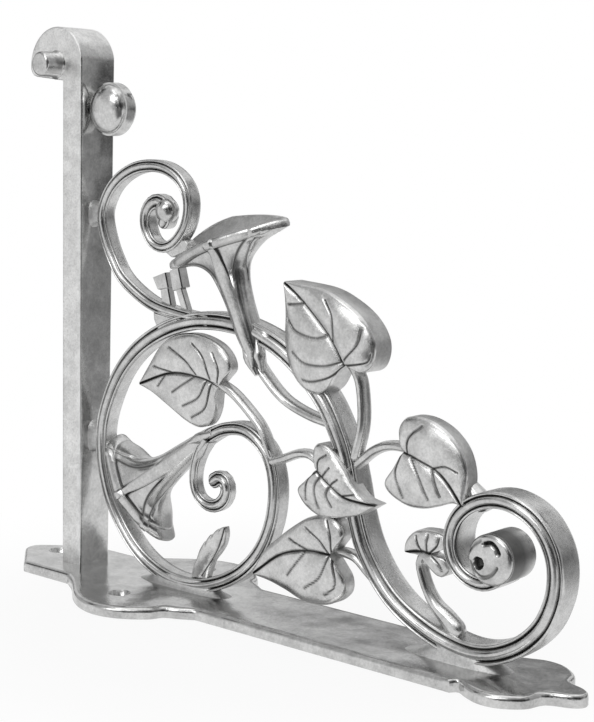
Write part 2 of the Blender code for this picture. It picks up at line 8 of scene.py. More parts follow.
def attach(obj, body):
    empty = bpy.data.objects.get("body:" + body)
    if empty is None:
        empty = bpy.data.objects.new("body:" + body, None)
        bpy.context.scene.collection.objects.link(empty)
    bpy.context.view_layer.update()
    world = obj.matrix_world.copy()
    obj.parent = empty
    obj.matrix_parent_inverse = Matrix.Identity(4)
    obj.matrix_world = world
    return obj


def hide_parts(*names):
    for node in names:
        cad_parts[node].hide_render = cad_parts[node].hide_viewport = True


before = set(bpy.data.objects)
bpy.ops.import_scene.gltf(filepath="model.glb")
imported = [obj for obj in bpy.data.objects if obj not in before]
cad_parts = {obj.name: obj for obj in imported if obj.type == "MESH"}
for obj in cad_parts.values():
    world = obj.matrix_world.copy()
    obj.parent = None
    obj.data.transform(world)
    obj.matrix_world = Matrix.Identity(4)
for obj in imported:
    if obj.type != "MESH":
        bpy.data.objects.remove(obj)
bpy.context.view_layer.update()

# The wall plate.
# A flat plate, cast in one with everything that stands on it, with a lobed ear on each side, a
# blunt nose beyond the arm and a rounded toe. Its top edge is softly rounded, a fine line runs
# inside it along the straight strip, and three countersunk holes take the wall screws.

MM = 0.001
DRAWING_MIDDLE_X = 117.0

PLATE_HALF_WIDTH = 21.0
PLATE_THICKNESS = 4.8
NOSE_TIP_X = -30.0
NOSE_SHOULDER_X = -10.0
NOSE_RADIUS = 7.0
EAR_START_X = 19.0
EAR_CREST_X = 61.0
EAR_END_X = 96.0
EAR_REACH = 44.0
TOE_NOTCH_X = 222.0
TOE_CREST_X = 237.0
TOE_REACH = 24.0
TOE_TIP_X = 264.0
EAR_SPANS = 8
TOE_SPANS = 6
NOSE_TURNS = (10.0, 20.0, 30.0, 40.0, 50.0)
PLATE_STEP = 1.3
# The rounded edge as rows of how far it is drawn in and its height.
PLATE_EDGE = ((0.3, 0.0), (0.02, 0.3), (0.02, 2.7), (0.15, 3.4), (0.5, 4.1), (1.0, 4.5), (1.5, 4.7),
              (1.9, 4.76), (2.2, 4.77), (2.5, 4.78), (2.9, 4.78), (3.1, 4.78))
STRIP_LINE_ROW = 8
STRIP_LINE_DEPTH = 0.45
STRIP_START_X = 97.0
STRIP_END_X = 213.0
# The edge is drawn in by less at the sharp tip of the toe and at its notches.
NARROWEST = 0.3
TIP_SHARE = 0.64
TIP_RUN = 14.0
TIP_EASE = 8.0
NOTCH_REACH = 6.0
SCREW_HOLES = ((57.0, -26.0), (57.0, 26.0), (-13.5, 3.0))
SCREW_HEAD_RADIUS = 4.75
SCREW_SHANK_RADIUS = 2.6
COUNTERSINK_DEPTH = 3.0
DRILL_OVERLAP = 2.0
DRILL_LEVELS = ((-DRILL_OVERLAP, SCREW_SHANK_RADIUS),
                (PLATE_THICKNESS - COUNTERSINK_DEPTH, SCREW_SHANK_RADIUS),
                (PLATE_THICKNESS, SCREW_HEAD_RADIUS),
                (PLATE_THICKNESS + DRILL_OVERLAP, SCREW_HEAD_RADIUS))
HOLE_SIDES = 48
PLATE_SHARP = 50.0


def in_metres(x, y, z):
    """A point of the drawing, in millimetres from the arm's outer side, as metres."""
    return ((x - DRAWING_MIDDLE_X) * MM, y * MM, z * MM)


def clamped(value):
    """The value, kept between zero and one."""
    return min(max(value, 0.0), 1.0)


def curve_point(a, b, c, d, t):
    """A point on the smooth curve that runs from b to c and has a and d as neighbours."""
    return 0.5 * (2 * b + (c - a) * t + (2 * a - 5 * b + 4 * c - d) * t * t
                  + (3 * b - a - 3 * c + d) * t ** 3)


def smooth_line(knots, spans):
    """A smooth curve through the knots, with this many steps between neighbours."""
    knots = [Vector(k) for k in knots]
    ends = [knots[0] * 2 - knots[1]] + knots + [knots[-1] * 2 - knots[-2]]
    line = []
    for i in range(1, len(ends) - 2):
        line += [curve_point(*ends[i - 1:i + 3], step / spans) for step in range(spans)]
    line.append(knots[-1])
    return line


def circle(centre, radius, sides):
    """Evenly spaced points round a circle."""
    turns = [2 * math.pi * k / sides for k in range(sides)]
    return [Vector((centre[0] + radius * math.cos(a), centre[1] + radius * math.sin(a)))
            for a in turns]


def even_line(points, step, closed=False):
    """The same line with its points evenly spaced, about one step apart."""
    points = [Vector(p) for p in points]
    if closed:
        points.append(points[0])
    lengths = [0.0]
    for a, b in zip(points, points[1:]):
        lengths.append(lengths[-1] + (b - a).length)
    count = max(2, round(lengths[-1] / step))
    line = []
    at = 0
    for k in range(count + (0 if closed else 1)):
        want = lengths[-1] * k / count
        while at < len(lengths) - 2 and lengths[at + 1] < want:
            at += 1
        span = max(lengths[at + 1] - lengths[at], 1e-9)
        line.append(points[at].lerp(points[at + 1], (want - lengths[at]) / span))
    return line


def inset_ring(outline, inset):
    """A closed outline drawn in by a distance along its own normals."""
    count = len(outline)
    ring = []
    for i in range(count):
        run = outline[(i + 1) % count] - outline[i - 1]
        run.normalize()
        ring.append(outline[i] + Vector((-run.y, run.x)) * inset)
    return ring


def turned_left(outline):
    """The outline in the direction that keeps its inside on the left."""
    area = sum(a.x * b.y - b.x * a.y for a, b in zip(outline, outline[1:] + outline[:1]))
    return outline if area > 0 else outline[::-1]


def in_scene(name, data):
    """A new object in the scene from its mesh or camera."""
    item = bpy.data.objects.new(name, data)
    bpy.context.scene.collection.objects.link(item)
    return item


def face_outward(mesh, sharp):
    """Turns all faces outward and shades them smooth, up to a sharp angle in degrees."""
    work = bmesh.new()
    work.from_mesh(mesh)
    bmesh.ops.recalc_face_normals(work, faces=work.faces)
    work.to_mesh(mesh)
    work.free()
    mesh.shade_smooth()
    mesh.set_sharp_from_angle(angle=math.radians(sharp))


def shell(name, points, faces, marks=None, sharp=35.0):
    """A mesh of the casting from points in metres, with its painted shade, satin and rough marks.
    """
    mesh = bpy.data.meshes.new(name)
    mesh.from_pydata(points, [], faces)
    face_outward(mesh, sharp)
    for mark in ("painted_shade", "satin", "rough"):
        layer = mesh.attributes.new(mark, "FLOAT", "POINT")
        if marks and mark in marks:
            layer.data.foreach_set("value", marks[mark])
    return in_scene(name, mesh)


def loft(name, rings, marks=None, sharp=35.0):
    """A closed shell through rings of equally many points."""
    sides = len(rings[0])
    faces = [tuple(reversed(range(sides)))]
    for row in range(len(rings) - 1):
        for k in range(sides):
            after = (k + 1) % sides
            faces.append((row * sides + k, row * sides + after,
                          (row + 1) * sides + after, (row + 1) * sides + k))
    last = (len(rings) - 1) * sides
    faces.append(tuple(last + k for k in range(sides)))
    return shell(name, [p for ring in rings for p in ring], faces, marks, sharp)


def plate_side():
    """One long side of the plate from the nose to the toe, as X and reach from the middle."""
    nose = [Vector((NOSE_TIP_X + NOSE_RADIUS * (1 - math.cos(a)), NOSE_RADIUS * math.sin(a)))
            for a in map(math.radians, NOSE_TURNS)]
    ear = smooth_line(((EAR_START_X, PLATE_HALF_WIDTH), (EAR_START_X + 9.0, 26.6),
                       (EAR_START_X + 21.0, 36.4), (EAR_CREST_X - 11.0, EAR_REACH - 2.0),
                       (EAR_CREST_X, EAR_REACH), (EAR_CREST_X + 11.0, EAR_REACH - 3.0),
                       (EAR_CREST_X + 20.5, 33.6), (EAR_CREST_X + 23.5, 27.6),
                       (EAR_CREST_X + 29.0, 24.6), (EAR_END_X, PLATE_HALF_WIDTH)),
                      EAR_SPANS)
    toe = smooth_line(((TOE_NOTCH_X - 1.6, PLATE_HALF_WIDTH), (TOE_NOTCH_X + 0.6, 18.4),
                       (TOE_NOTCH_X + 5.0, 21.0), (TOE_CREST_X - 3.0, TOE_REACH - 0.3),
                       (TOE_CREST_X + 5.0, TOE_REACH - 1.4), (TOE_CREST_X + 12.6, 16.6),
                       (TOE_CREST_X + 15.4, 8.6), (TOE_TIP_X - 4.0, 5.0),
                       (TOE_TIP_X - 0.8, 2.6)), TOE_SPANS)
    return nose + [Vector((NOSE_SHOULDER_X, PLATE_HALF_WIDTH))] + ear + toe


side = plate_side()
outline = [Vector((NOSE_TIP_X, 0.0))] + [Vector((p.x, -p.y)) for p in side]
outline += [Vector((TOE_TIP_X, 0.0))] + [Vector((p.x, p.y)) for p in reversed(side)]
outline = turned_left(even_line(outline, PLATE_STEP, closed=True))
plate_rings = []
plate_marks = []
for row, (inset, height) in enumerate(PLATE_EDGE):
    ring = inset_ring(outline, inset)
    narrow = inset_ring(outline, inset * NARROWEST)
    points = []
    for full, less in zip(ring, narrow):
        tip = TIP_SHARE * clamped((less.x - TOE_TIP_X + TIP_RUN) / TIP_EASE)
        notch = 1.0 - min(abs(less.x - TOE_NOTCH_X) / NOTCH_REACH, 1.0)
        place = full.lerp(less, max(tip, notch))
        line = 1.0 if row == STRIP_LINE_ROW and STRIP_START_X < place.x < STRIP_END_X else 0.0
        points.append(in_metres(place.x, place.y, height - STRIP_LINE_DEPTH * line))
        # The fine line's mark paints it dark with shade as well as sinking it.
        plate_marks.append(line)
    plate_rings.append(points)
wall_plate = loft("wall_plate", plate_rings, {"painted_shade": plate_marks}, PLATE_SHARP)

for number, hole in enumerate(SCREW_HOLES):
    drill = loft("drill_%d" % number, [
        [in_metres(p.x, p.y, height) for p in circle(hole, radius, HOLE_SIDES)]
        for height, radius in DRILL_LEVELS])
    cut = wall_plate.modifiers.new("hole", "BOOLEAN")
    cut.object = drill
    cut.operation = "DIFFERENCE"
    cut.solver = "EXACT"
    shaped = wall_plate.evaluated_get(bpy.context.evaluated_depsgraph_get())
    drilled = bpy.data.meshes.new_from_object(shaped)
    wall_plate.modifiers.clear()
    wall_plate.data = drilled
    bpy.data.objects.remove(drill, do_unlink=True)
wall_plate.data.shade_smooth()
wall_plate.data.set_sharp_from_angle(angle=math.radians(PLATE_SHARP))

# The shelf arm and its curled head.
# A plain square bar that carries the shelf on its outer side. Its free end curls over into a stop
# for the shelf's front edge, with the round end of the curl's eye standing out of the front. Its
# flats are left satin, and the hand polishing has rounded their edges.

ARM_OUTER_X = 0.9
ARM_INNER_X = 13.0
ARM_FRONT_Y = -7.9
ARM_BACK_Y_TOP = 11.6
ARM_BACK_Y_FOOT = 9.0
ARM_FOOT_Z = 2.0
ARM_TOP_Z = 239.8
HEAD_CENTRE = (-3.3, 223.0)
HEAD_RADIUS = 16.8
STOP_LOW = 216.8
STOP_HIGH = 218.6
STOP_CORNER_RADIUS = 3.6
HEAD_END_TURN = 184.0
HEAD_STEPS = 60
STOP_CORNER_INSET = 0.3
STOP_CORNER_TURNS = (190.0, 266.0)
STOP_CORNER_STEPS = 8
EDGE_TURNS = (0.0, 22.5, 45.0, 67.5, 90.0)
FACE_INSET = 1.6
ARM_EDGE_RADIUS = 0.8
POLISHED_BELOW = 226.0
POLISHED_MARGIN = 0.5
ARM_STEP = 1.6
EYE_CENTRE = (-3.3, 223.6)
EYE_RADIUS = 5.2
EYE_FRONT_REACH = 9.5
EYE_SIDES = 56


def arc(centre, radius, start, end, steps):
    """Points on a circle from one angle in degrees to another."""
    points = []
    for i in range(steps + 1):
        angle = math.radians(start + (end - start) * i / steps)
        points.append(Vector((centre[0] + radius * math.cos(angle),
                              centre[1] + radius * math.sin(angle))))
    return points


def slab(name, corners, low_y, high_y, radius, step, satin=0.0, rough=0.0):
    """A flat outline in X and Z with a thickness in Y and rounded edges all round."""
    line = turned_left(even_line(corners, step, closed=True))
    bend = [(radius * (1 - math.cos(a)), radius * (1 - math.sin(a)))
            for a in map(math.radians, EDGE_TURNS)]
    face_inset = bend[-1][0] * FACE_INSET
    rows = [(face_inset, low_y)] + [(inset, low_y + depth) for inset, depth in reversed(bend)]
    rows += [(inset, high_y - depth) for inset, depth in bend] + [(face_inset, high_y)]
    rings = [[in_metres(p.x, y, p.y) for p in inset_ring(line, inset)] for inset, y in rows]
    count = len(rings) * len(line)
    return loft(name, rings, {"satin": [satin] * count, "rough": [rough] * count}, sharp=60.0)


def turned(name, centre, stations, sides):
    """A round shell about a Y axis, from stations of Y and radius."""
    rings = [[in_metres(p.x, y, p.y) for p in circle(centre, radius, sides)]
             for y, radius in stations]
    return loft(name, rings, sharp=50.0)


head_x = HEAD_CENTRE[0]
head_start = math.degrees(math.acos((ARM_INNER_X - head_x) / HEAD_RADIUS))
head_curl = arc(HEAD_CENTRE, HEAD_RADIUS, head_start, HEAD_END_TURN, HEAD_STEPS)
corner_x = head_x - HEAD_RADIUS + STOP_CORNER_RADIUS + STOP_CORNER_INSET
stop_corner = arc((corner_x, STOP_HIGH + STOP_CORNER_RADIUS), STOP_CORNER_RADIUS,
                  *STOP_CORNER_TURNS, STOP_CORNER_STEPS)
arm_outline = [Vector((ARM_INNER_X, ARM_FOOT_Z))] + head_curl + stop_corner
arm_outline += [Vector((ARM_OUTER_X, STOP_LOW)), Vector((ARM_OUTER_X, ARM_FOOT_Z))]
shelf_arm = slab("shelf_arm", arm_outline, ARM_FRONT_Y, ARM_BACK_Y_TOP, ARM_EDGE_RADIUS,
                 ARM_STEP, satin=1.0)
for vertex in shelf_arm.data.vertices:
    if vertex.co.y > 0:
        rise = clamped(vertex.co.z / (ARM_TOP_Z * MM))
        vertex.co.y -= (ARM_BACK_Y_TOP - ARM_BACK_Y_FOOT) * MM * (1.0 - rise)
    across_x = vertex.co.x / MM + DRAWING_MIDDLE_X
    if across_x > ARM_INNER_X - POLISHED_MARGIN and vertex.co.z < POLISHED_BELOW * MM:
        shelf_arm.data.attributes["satin"].data[vertex.index].value = 0.0

# Down the eye from its front, from the arm's front and from the arm's back, as Y and growth.
eye_front = ARM_FRONT_Y - EYE_FRONT_REACH
eye_rows = ((eye_front, ((0.0, -1.6), (0.02, -1.1), (0.2, -0.55), (0.6, -0.15), (1.1, 0.0))),
            (ARM_FRONT_Y, ((-1.2, 0.2), (-0.4, 0.5), (0.4, 1.2))),
            (ARM_BACK_Y_TOP, ((-0.4, 0.6), (0.4, 0.5), (0.9, 0.1), (1.15, -0.8))))
eye_stations = [(start + y, EYE_RADIUS + grow) for start, rows in eye_rows for y, grow in rows]
eye_of_curl = turned("eye_of_curl", EYE_CENTRE, eye_stations, EYE_SIDES)

# The knob.
# A round cushion that fills the corner between the head and the first scroll and touches the
# arm. It is the most highly polished part, with a narrow plain belt round its middle.

KNOB_CENTRE = (24.0, 204.8)
KNOB_RADIUS = 11.3
KNOB_HALF_BELT = 2.6
KNOB_DOME = 4.704
KNOB_DOME_RADIUS = 10.3
KNOB_SEAM = 0.1
KNOB_BELT = ((KNOB_SEAM, KNOB_DOME_RADIUS + 0.1), (0.25, KNOB_RADIUS - 0.08), (0.6, KNOB_RADIUS))
DOME_END_TURN = 88.0
KNOB_SIDES = 96
KNOB_RINGS = 14

front_half = []
for step in range(KNOB_RINGS):
    angle = math.radians(DOME_END_TURN * (1.0 - step / (KNOB_RINGS - 1)))
    front_half.append((-KNOB_HALF_BELT - KNOB_SEAM - KNOB_DOME * math.sin(angle),
                       KNOB_DOME_RADIUS * math.cos(angle)))
front_half += [(y - KNOB_HALF_BELT, radius) for y, radius in KNOB_BELT]
back_half = [(-y, radius) for y, radius in reversed(front_half)]
knob = turned("knob", KNOB_CENTRE, front_half + back_half, KNOB_SIDES)

# The scrolling stems.
# The vine's stems are sunk and raised reeds on the front, a bold one between two thin beads, with
# plain sides and a plain back. One long stem makes the lower scroll, crosses to the right and
# rolls up into the volute on the plate; the upper scroll and the tendril curl off it.

UPPER_SCROLL = (
    (84.0, 119.5), (66.2, 120.9), (50.0, 124.1), (34.5, 132.6), (27.0, 141.8),
    (22.4, 151.4), (20.6, 160.5), (24.2, 169.2), (31.0, 175.9), (40.1, 180.2), (49.6, 181.6),
    (58.4, 180.6), (66.0, 176.9), (70.6, 171.4), (71.9, 164.9), (70.3, 157.9), (66.3, 152.4),
    (61.6, 149.0), (55.9, 148.0), (50.6, 150.3), (47.3, 155.6), (46.9, 161.0), (49.4, 165.2),
    (53.6, 166.9), (57.4, 165.4), (58.8, 161.8), (57.6, 159.2),
)
LOWER_SCROLL = (
    (77.0, 66.3), (85.9, 72.3), (92.5, 75.6), (100.8, 77.1), (107.3, 76.0), (113.8, 72.0),
    (118.2, 66.6), (120.6, 59.1), (121.0, 51.1), (119.6, 41.9), (115.9, 32.4), (109.9, 23.9),
    (101.6, 16.6), (90.9, 10.9), (79.5, 7.7), (66.0, 7.3), (53.6, 10.4), (42.9, 16.4),
    (34.1, 25.1), (27.4, 34.7), (23.4, 44.5), (21.0, 55.3), (21.2, 68.7), (25.6, 81.5),
    (32.3, 93.1), (41.2, 102.6), (51.6, 109.8), (63.4, 115.3), (74.9, 118.5), (84.4, 119.6),
)
MAIN_STEM = (
    (94.6, 119.6), (105.5, 118.2), (119.0, 114.0), (129.6, 108.3), (138.5, 101.4), (146.0, 93.8),
    (151.6, 85.5), (156.4, 76.1), (160.0, 64.6), (162.8, 53.3), (166.4, 43.0),
    (170.4, 35.8), (175.8, 28.7), (182.9, 22.2), (191.5, 17.0), (202.4, 12.6), (214.0, 10.2),
    (223.6, 10.6), (232.4, 13.6), (240.6, 18.8), (247.4, 26.4), (251.4, 36.0), (252.3, 44.4),
    (251.1, 51.8), (247.8, 58.4), (242.7, 63.8), (236.0, 67.2), (229.2, 68.4), (222.4, 67.5),
    (216.2, 64.6), (211.4, 60.0), (208.8, 54.4), (208.5, 48.4), (211.0, 42.4), (216.4, 38.2),
    (223.4, 37.2), (229.4, 40.0), (232.6, 44.8),
)
TENDRIL = (
    (84.0, 70.6), (79.8, 64.2), (77.4, 57.4), (77.2, 50.6), (79.6, 45.6), (84.2, 43.0),
    (89.2, 43.2), (93.2, 45.8), (95.2, 49.8), (94.4, 53.6), (91.2, 55.2), (88.4, 53.8),
)
VINE_HALF_WIDTHS = (2.6, 2.9, 3.0, 3.1, 3.1, 3.4, 3.8, 4.1, 4.1, 4.0, 3.6, 3.0, 2.5)
VINE_HALF_DEPTHS = (4.0, 4.2, 4.2, 4.2, 4.4, 4.9, 5.4, 5.8, 6.2, 6.4, 6.8, 7.4, 8.2)
# Each stem has its line, half widths, half depths and the Y of its middle.
REEDED_STEMS = (
    (LOWER_SCROLL + MAIN_STEM, VINE_HALF_WIDTHS, VINE_HALF_DEPTHS, 0.0),
    (UPPER_SCROLL, (2.2, 2.7, 2.8, 2.6, 2.5, 2.2, 3.6), (3.5, 3.5), -0.7),
    (TENDRIL, (2.6, 2.2, 2.2, 2.9, 3.2), (3.4, 2.9, 2.4, 2.3, 2.4), -1.5),
)
STEM_SPANS = 8
STEM_STEP = 2.1
STEM_SHARP = 70.0
END_TURNS = (20.0, 40.0, 58.0, 72.0, 84.0)
END_DEPTH = 0.45
SIDE_ROUGH = 0.4
STEM_SIDE = ((1.0, -0.6), (1.0, 0.35), (0.97, 0.75), (0.8, 0.95), (0.4, 1.0), (0.0, 1.0))

BOLD_REED_HALF = 0.5
BOLD_REED_HEIGHT = 0.62
BOLD_REED_RISE = 0.06
BOLD_REED_STEPS = 7
BEAD_GAP = 0.11
BEAD_STEPS = 5
BEAD_HALF = 0.19
BEAD_CREST = 0.24
GROOVE_FLOOR = 0.68


def along(values, fraction):
    """The value at a fraction of the way through a list of evenly spaced values."""
    place = clamped(fraction) * (len(values) - 1)
    low = min(int(place), len(values) - 2)
    return values[low] + (values[low + 1] - values[low]) * (place - low)


def reeded_profile():
    """Half the front from the middle outwards as across and relief, both in half widths, and
    painted shade.
    """
    points = []
    for k in range(BOLD_REED_STEPS + 1):
        share = k / BOLD_REED_STEPS
        lift = BOLD_REED_HEIGHT * math.sqrt(max(0.0, 1.0 - share ** 2)) + BOLD_REED_RISE
        points.append((BOLD_REED_HALF * share, GROOVE_FLOOR - lift, 1.0 if share == 1.0 else 0.0))
    bead_middle = BOLD_REED_HALF + BEAD_GAP + BEAD_HALF
    for k in range(BEAD_STEPS + 1):
        angle = math.pi * k / BEAD_STEPS
        u = bead_middle - BEAD_HALF * math.cos(angle)
        relief = GROOVE_FLOOR - (GROOVE_FLOOR - BEAD_CREST) * math.sin(angle)
        points.append((min(u, 1.0), relief, 0.9 if k == 0 else 0.0))
    return points


def section_ring(front_half):
    """A closed section from half a front: across, side from front to back, relief and painted
    shade.
    """
    left = [(-u, -1.0, relief, painted_shade) for u, relief, painted_shade in reversed(front_half)]
    right = [(u, -1.0, relief, painted_shade) for u, relief, painted_shade in front_half[1:]]
    back = [(u, side_, 0.0, 0.0) for u, side_ in STEM_SIDE]
    mirrored = [(-u, side_, 0.0, 0.0) for u, side_ in STEM_SIDE[-2::-1]]
    return left + right + back + mirrored


def line_mesh(name, chains, values):
    """Chains of points joined by edges, with their named values, as a guide for the stems."""
    points = [p for chain in chains for p in chain]
    edges = []
    start = 0
    for chain in chains:
        edges += [(start + k, start + k + 1) for k in range(len(chain) - 1)]
        start += len(chain)
    mesh = bpy.data.meshes.new(name)
    mesh.from_pydata(points, edges, [])
    for key, rows in values.items():
        if isinstance(rows[0], (tuple, Vector)):
            layer = mesh.attributes.new(key, "FLOAT_VECTOR", "POINT")
            layer.data.foreach_set("vector", [c for row in rows for c in row])
        else:
            layer = mesh.attributes.new(key, "FLOAT", "POINT")
            layer.data.foreach_set("value", rows)
    return in_scene(name, mesh)


def section_guide(name, ring):
    """A closed section as a guide, with its across, side and relief kept as one vector."""
    guide = line_mesh(name, [[(u, v, 0.0) for u, v, relief, painted_shade in ring]],
                      {"section": [(u, v, relief) for u, v, relief, painted_shade in ring],
                       "painted_shade": [painted_shade for u, v, relief, painted_shade in ring],
                       "rough": [SIDE_ROUGH if v > STEM_SIDE[0][1] - 0.1 else 0.0
                                 for u, v, relief, painted_shade in ring]})
    guide.data.edges.add(1)
    guide.data.edges[-1].vertices = (len(ring) - 1, 0)
    return guide


def stem_guide(name, stems, step):
    """The centre lines of stems, with each point's heading, half width and half depth."""
    chains = []
    across_rows = []
    wide_rows = []
    deep_rows = []
    middle_rows = []
    for knots, widths, depths, middle_y in stems:
        line = even_line(smooth_line(knots, STEM_SPANS), step)
        last = (line[-1] - line[-2]).normalized()
        ends = [(line[-1] + last * widths[-1] * math.sin(math.radians(t)),
                 math.cos(math.radians(t))) for t in END_TURNS]
        rows = [(p, 1.0) for p in line] + ends
        chain = []
        for i, (place, shrink) in enumerate(rows):
            ahead = rows[min(i + 1, len(rows) - 1)][0]
            behind = rows[max(i - 1, 0)][0]
            heading = (ahead - behind).normalized()
            fraction = i / (len(line) - 1)
            chain.append(in_metres(place.x, 0.0, place.y))
            across_rows.append((heading.y, 0.0, -heading.x))
            wide_rows.append(along(widths, fraction) * shrink * MM)
            deep_rows.append(along(depths, fraction)
                             * (END_DEPTH + (1.0 - END_DEPTH) * shrink) * MM)
            middle_rows.append(middle_y * MM)
        chains.append(chain)
    return line_mesh(name, chains, {"across": across_rows, "half_width": wide_rows,
                                    "half_depth": deep_rows, "middle_y": middle_rows})


def feed(tree, socket, value):
    """Sets a node's input to a value, or links it to a socket or to a node's own output."""
    if isinstance(value, bpy.types.Node):
        value = next(output for output in value.outputs if output.enabled)
    if isinstance(value, bpy.types.NodeSocket):
        tree.links.new(value, socket)
    else:
        socket.default_value = value


def add(tree, kind, inputs=None, **settings):
    """A new node in a tree with its settings, and its inputs fed by name or by place."""
    node = tree.nodes.new(kind)
    for name, setting in settings.items():
        setattr(node, name, setting)
    for key, value in (inputs or {}).items():
        feed(tree, node.inputs[key], value)
    return node


def stem_tree():
    """A node tree that sweeps a section along stems that each have their own width and depth."""
    tree = bpy.data.node_groups.new("swept_stem", "GeometryNodeTree")
    for name, way, kind in (("Geometry", "INPUT", "Geometry"), ("Section", "INPUT", "Object"),
                            ("Metal", "INPUT", "Material"), ("Geometry", "OUTPUT", "Geometry")):
        tree.interface.new_socket(name, in_out=way, socket_type="NodeSocket" + kind)
    source = add(tree, "NodeGroupInput").outputs

    def value(name, kind="FLOAT"):
        return add(tree, "GeometryNodeInputNamedAttribute", {"Name": name}, data_type=kind)

    def calc(kind, operation, *values):
        return add(tree, kind, dict(enumerate(values)), operation=operation)

    centre = add(tree, "GeometryNodeStoreNamedAttribute",
                 {"Geometry": source["Geometry"], "Name": "centre",
                  "Value": add(tree, "GeometryNodeInputPosition")}, data_type="FLOAT_VECTOR")
    path = add(tree, "GeometryNodeMeshToCurve", {0: centre})
    held = add(tree, "GeometryNodeObjectInfo", {"Object": source["Section"]})
    ring = add(tree, "GeometryNodeMeshToCurve", {0: held.outputs["Geometry"]})
    swept = add(tree, "GeometryNodeCurveToMesh",
                {"Curve": path, "Profile Curve": ring, "Fill Caps": True})

    split = add(tree, "ShaderNodeSeparateXYZ", {0: value("section", "FLOAT_VECTOR")}).outputs
    reach = calc("ShaderNodeMath", "MULTIPLY", split["X"], value("half_width"))
    sideways = add(tree, "ShaderNodeVectorMath",
                   {0: value("across", "FLOAT_VECTOR"), "Scale": reach}, operation="SCALE")
    deep = calc("ShaderNodeMath", "MULTIPLY_ADD", split["Y"], value("half_depth"),
                value("middle_y"))
    relief = calc("ShaderNodeMath", "MULTIPLY_ADD", split["Z"], value("half_width"), deep)
    inward = add(tree, "ShaderNodeCombineXYZ", {"Y": relief})
    beside = calc("ShaderNodeVectorMath", "ADD", value("centre", "FLOAT_VECTOR"), sideways)
    total = calc("ShaderNodeVectorMath", "ADD", beside, inward)
    moved = add(tree, "GeometryNodeSetPosition", {"Geometry": swept, "Position": total})
    smooth = add(tree, "GeometryNodeSetShadeSmooth", {"Geometry": moved})
    real = add(tree, "GeometryNodeRealizeInstances", {0: smooth})
    dressed = add(tree, "GeometryNodeSetMaterial",
                  {"Geometry": real, "Material": source["Metal"]})
    add(tree, "NodeGroupOutput", {0: dressed})
    return tree


polished = bpy.data.materials.new("polished_cast_aluminium")
swept_stem = stem_tree()


def sweep(name, guide, section):
    """The mesh that the stem tree makes from a guide and a section."""
    modifier = guide.modifiers.new("stem", "NODES")
    modifier.node_group = swept_stem
    sockets = {s.name: s.identifier for s in swept_stem.interface.items_tree
               if s.in_out == "INPUT"}
    modifier[sockets["Section"]] = section
    modifier[sockets["Metal"]] = polished
    shaped = guide.evaluated_get(bpy.context.evaluated_depsgraph_get())
    mesh = bpy.data.meshes.new_from_object(shaped)
    mesh.name = name
    guide.modifiers.clear()
    face_outward(mesh, STEM_SHARP)
    for used in (guide, section):
        bpy.data.objects.remove(used, do_unlink=True)
    return in_scene(name, mesh)


reeded_stems = sweep("reeded_stems", stem_guide("reeded_lines", REEDED_STEMS, STEM_STEP),
                     section_guide("reeded_section", section_ring(reeded_profile())))

# The stalks.
# Thin round stalks that carry the leaves, the flower twig and the sprig, and the small pointed
# sepals of the flowers. They run into the reeded stems, where the casting flows together. The
# upper scroll ends in a ball.

STALKS = (
    (((106.6, 108.4), (114.8, 99.5), (124.8, 91.6), (138.4, 86.8), (152.6, 84.6)),
     (2.1, 2.1), (3.6, 3.6), -0.4),
    (((157.5, 111.0), (162.4, 105.0), (164.3, 96.9), (164.6, 86.6), (161.8, 74.6)),
     (2.2, 2.2), (3.3, 3.3), -1.8),
    (((86.0, 95.4), (97.0, 91.2), (107.4, 83.7), (113.6, 77.6), (118.4, 68.4)),
     (2.1, 2.1), (3.0, 3.0), -0.8),
    (((190.0, 79.4), (183.8, 80.8), (176.4, 80.4), (169.2, 77.2), (160.0, 69.4)),
     (2.0, 2.0), (3.2, 3.2), -1.0),
    (((148.0, 66.0), (143.5, 69.2), (138.6, 71.6), (132.7, 71.2), (125.2, 68.2), (118.6, 65.8)),
     (1.9, 1.9), (3.0, 3.0), -1.0),
    (((150.0, 35.0), (156.8, 35.8), (163.0, 34.6), (168.4, 30.6), (176.0, 25.0)),
     (2.0, 2.0), (3.2, 3.2), -1.0),
    (((196.0, 44.0), (192.9, 39.5), (193.7, 34.7), (196.2, 29.1), (200.0, 23.8), (204.6, 20.2),
      (208.6, 16.4)), (1.8, 1.9, 2.0, 3.0, 4.4), (3.2, 3.2), -0.8),
    (((211.6, 71.6), (214.6, 68.6), (218.0, 65.4)), (2.4, 3.4, 3.8), (3.0, 4.6), -0.4),
)
SEPALS = (
    (((87.4, 73.4), (80.2, 70.5), (73.6, 67.2)), (1.0, 2.6, 0.4), (1.2, 2.4, 0.8), -3.2),
    (((85.0, 69.0), (80.8, 63.4), (77.6, 59.4)), (0.8, 2.0, 0.4), (1.2, 2.2, 0.8), -2.8),
    (((112.6, 100.4), (108.8, 106.0), (104.7, 113.6)), (0.8, 2.5, 0.3), (1.0, 2.4, 0.8), -4.6),
    (((114.6, 102.0), (113.4, 107.0), (111.9, 114.2)), (0.8, 2.6, 0.5), (1.0, 2.6, 1.0), -3.8),
    (((120.4, 112.6), (115.3, 116.2), (109.6, 119.4)), (0.8, 2.6, 0.7), (1.2, 2.6, 1.2), -2.8),
)
STALK_SIDES = 20

stalk_ring = [(p.x, p.y, 0.0, 0.0) for p in circle((0.0, 0.0), 1.0, STALK_SIDES)]
stalks = sweep("stalks", stem_guide("stalk_lines", STALKS + SEPALS, STEM_STEP),
               section_guide("stalk_section", stalk_ring))

SCROLL_BALL = (58.2, 163.2)
SCROLL_BALL_RADIUS = 5.4
SCROLL_BALL_DEPTH = 4.6
SCROLL_BALL_Y = -1.0
SCROLL_BALL_STEPS = 18
SCROLL_BALL_SIDES = 48

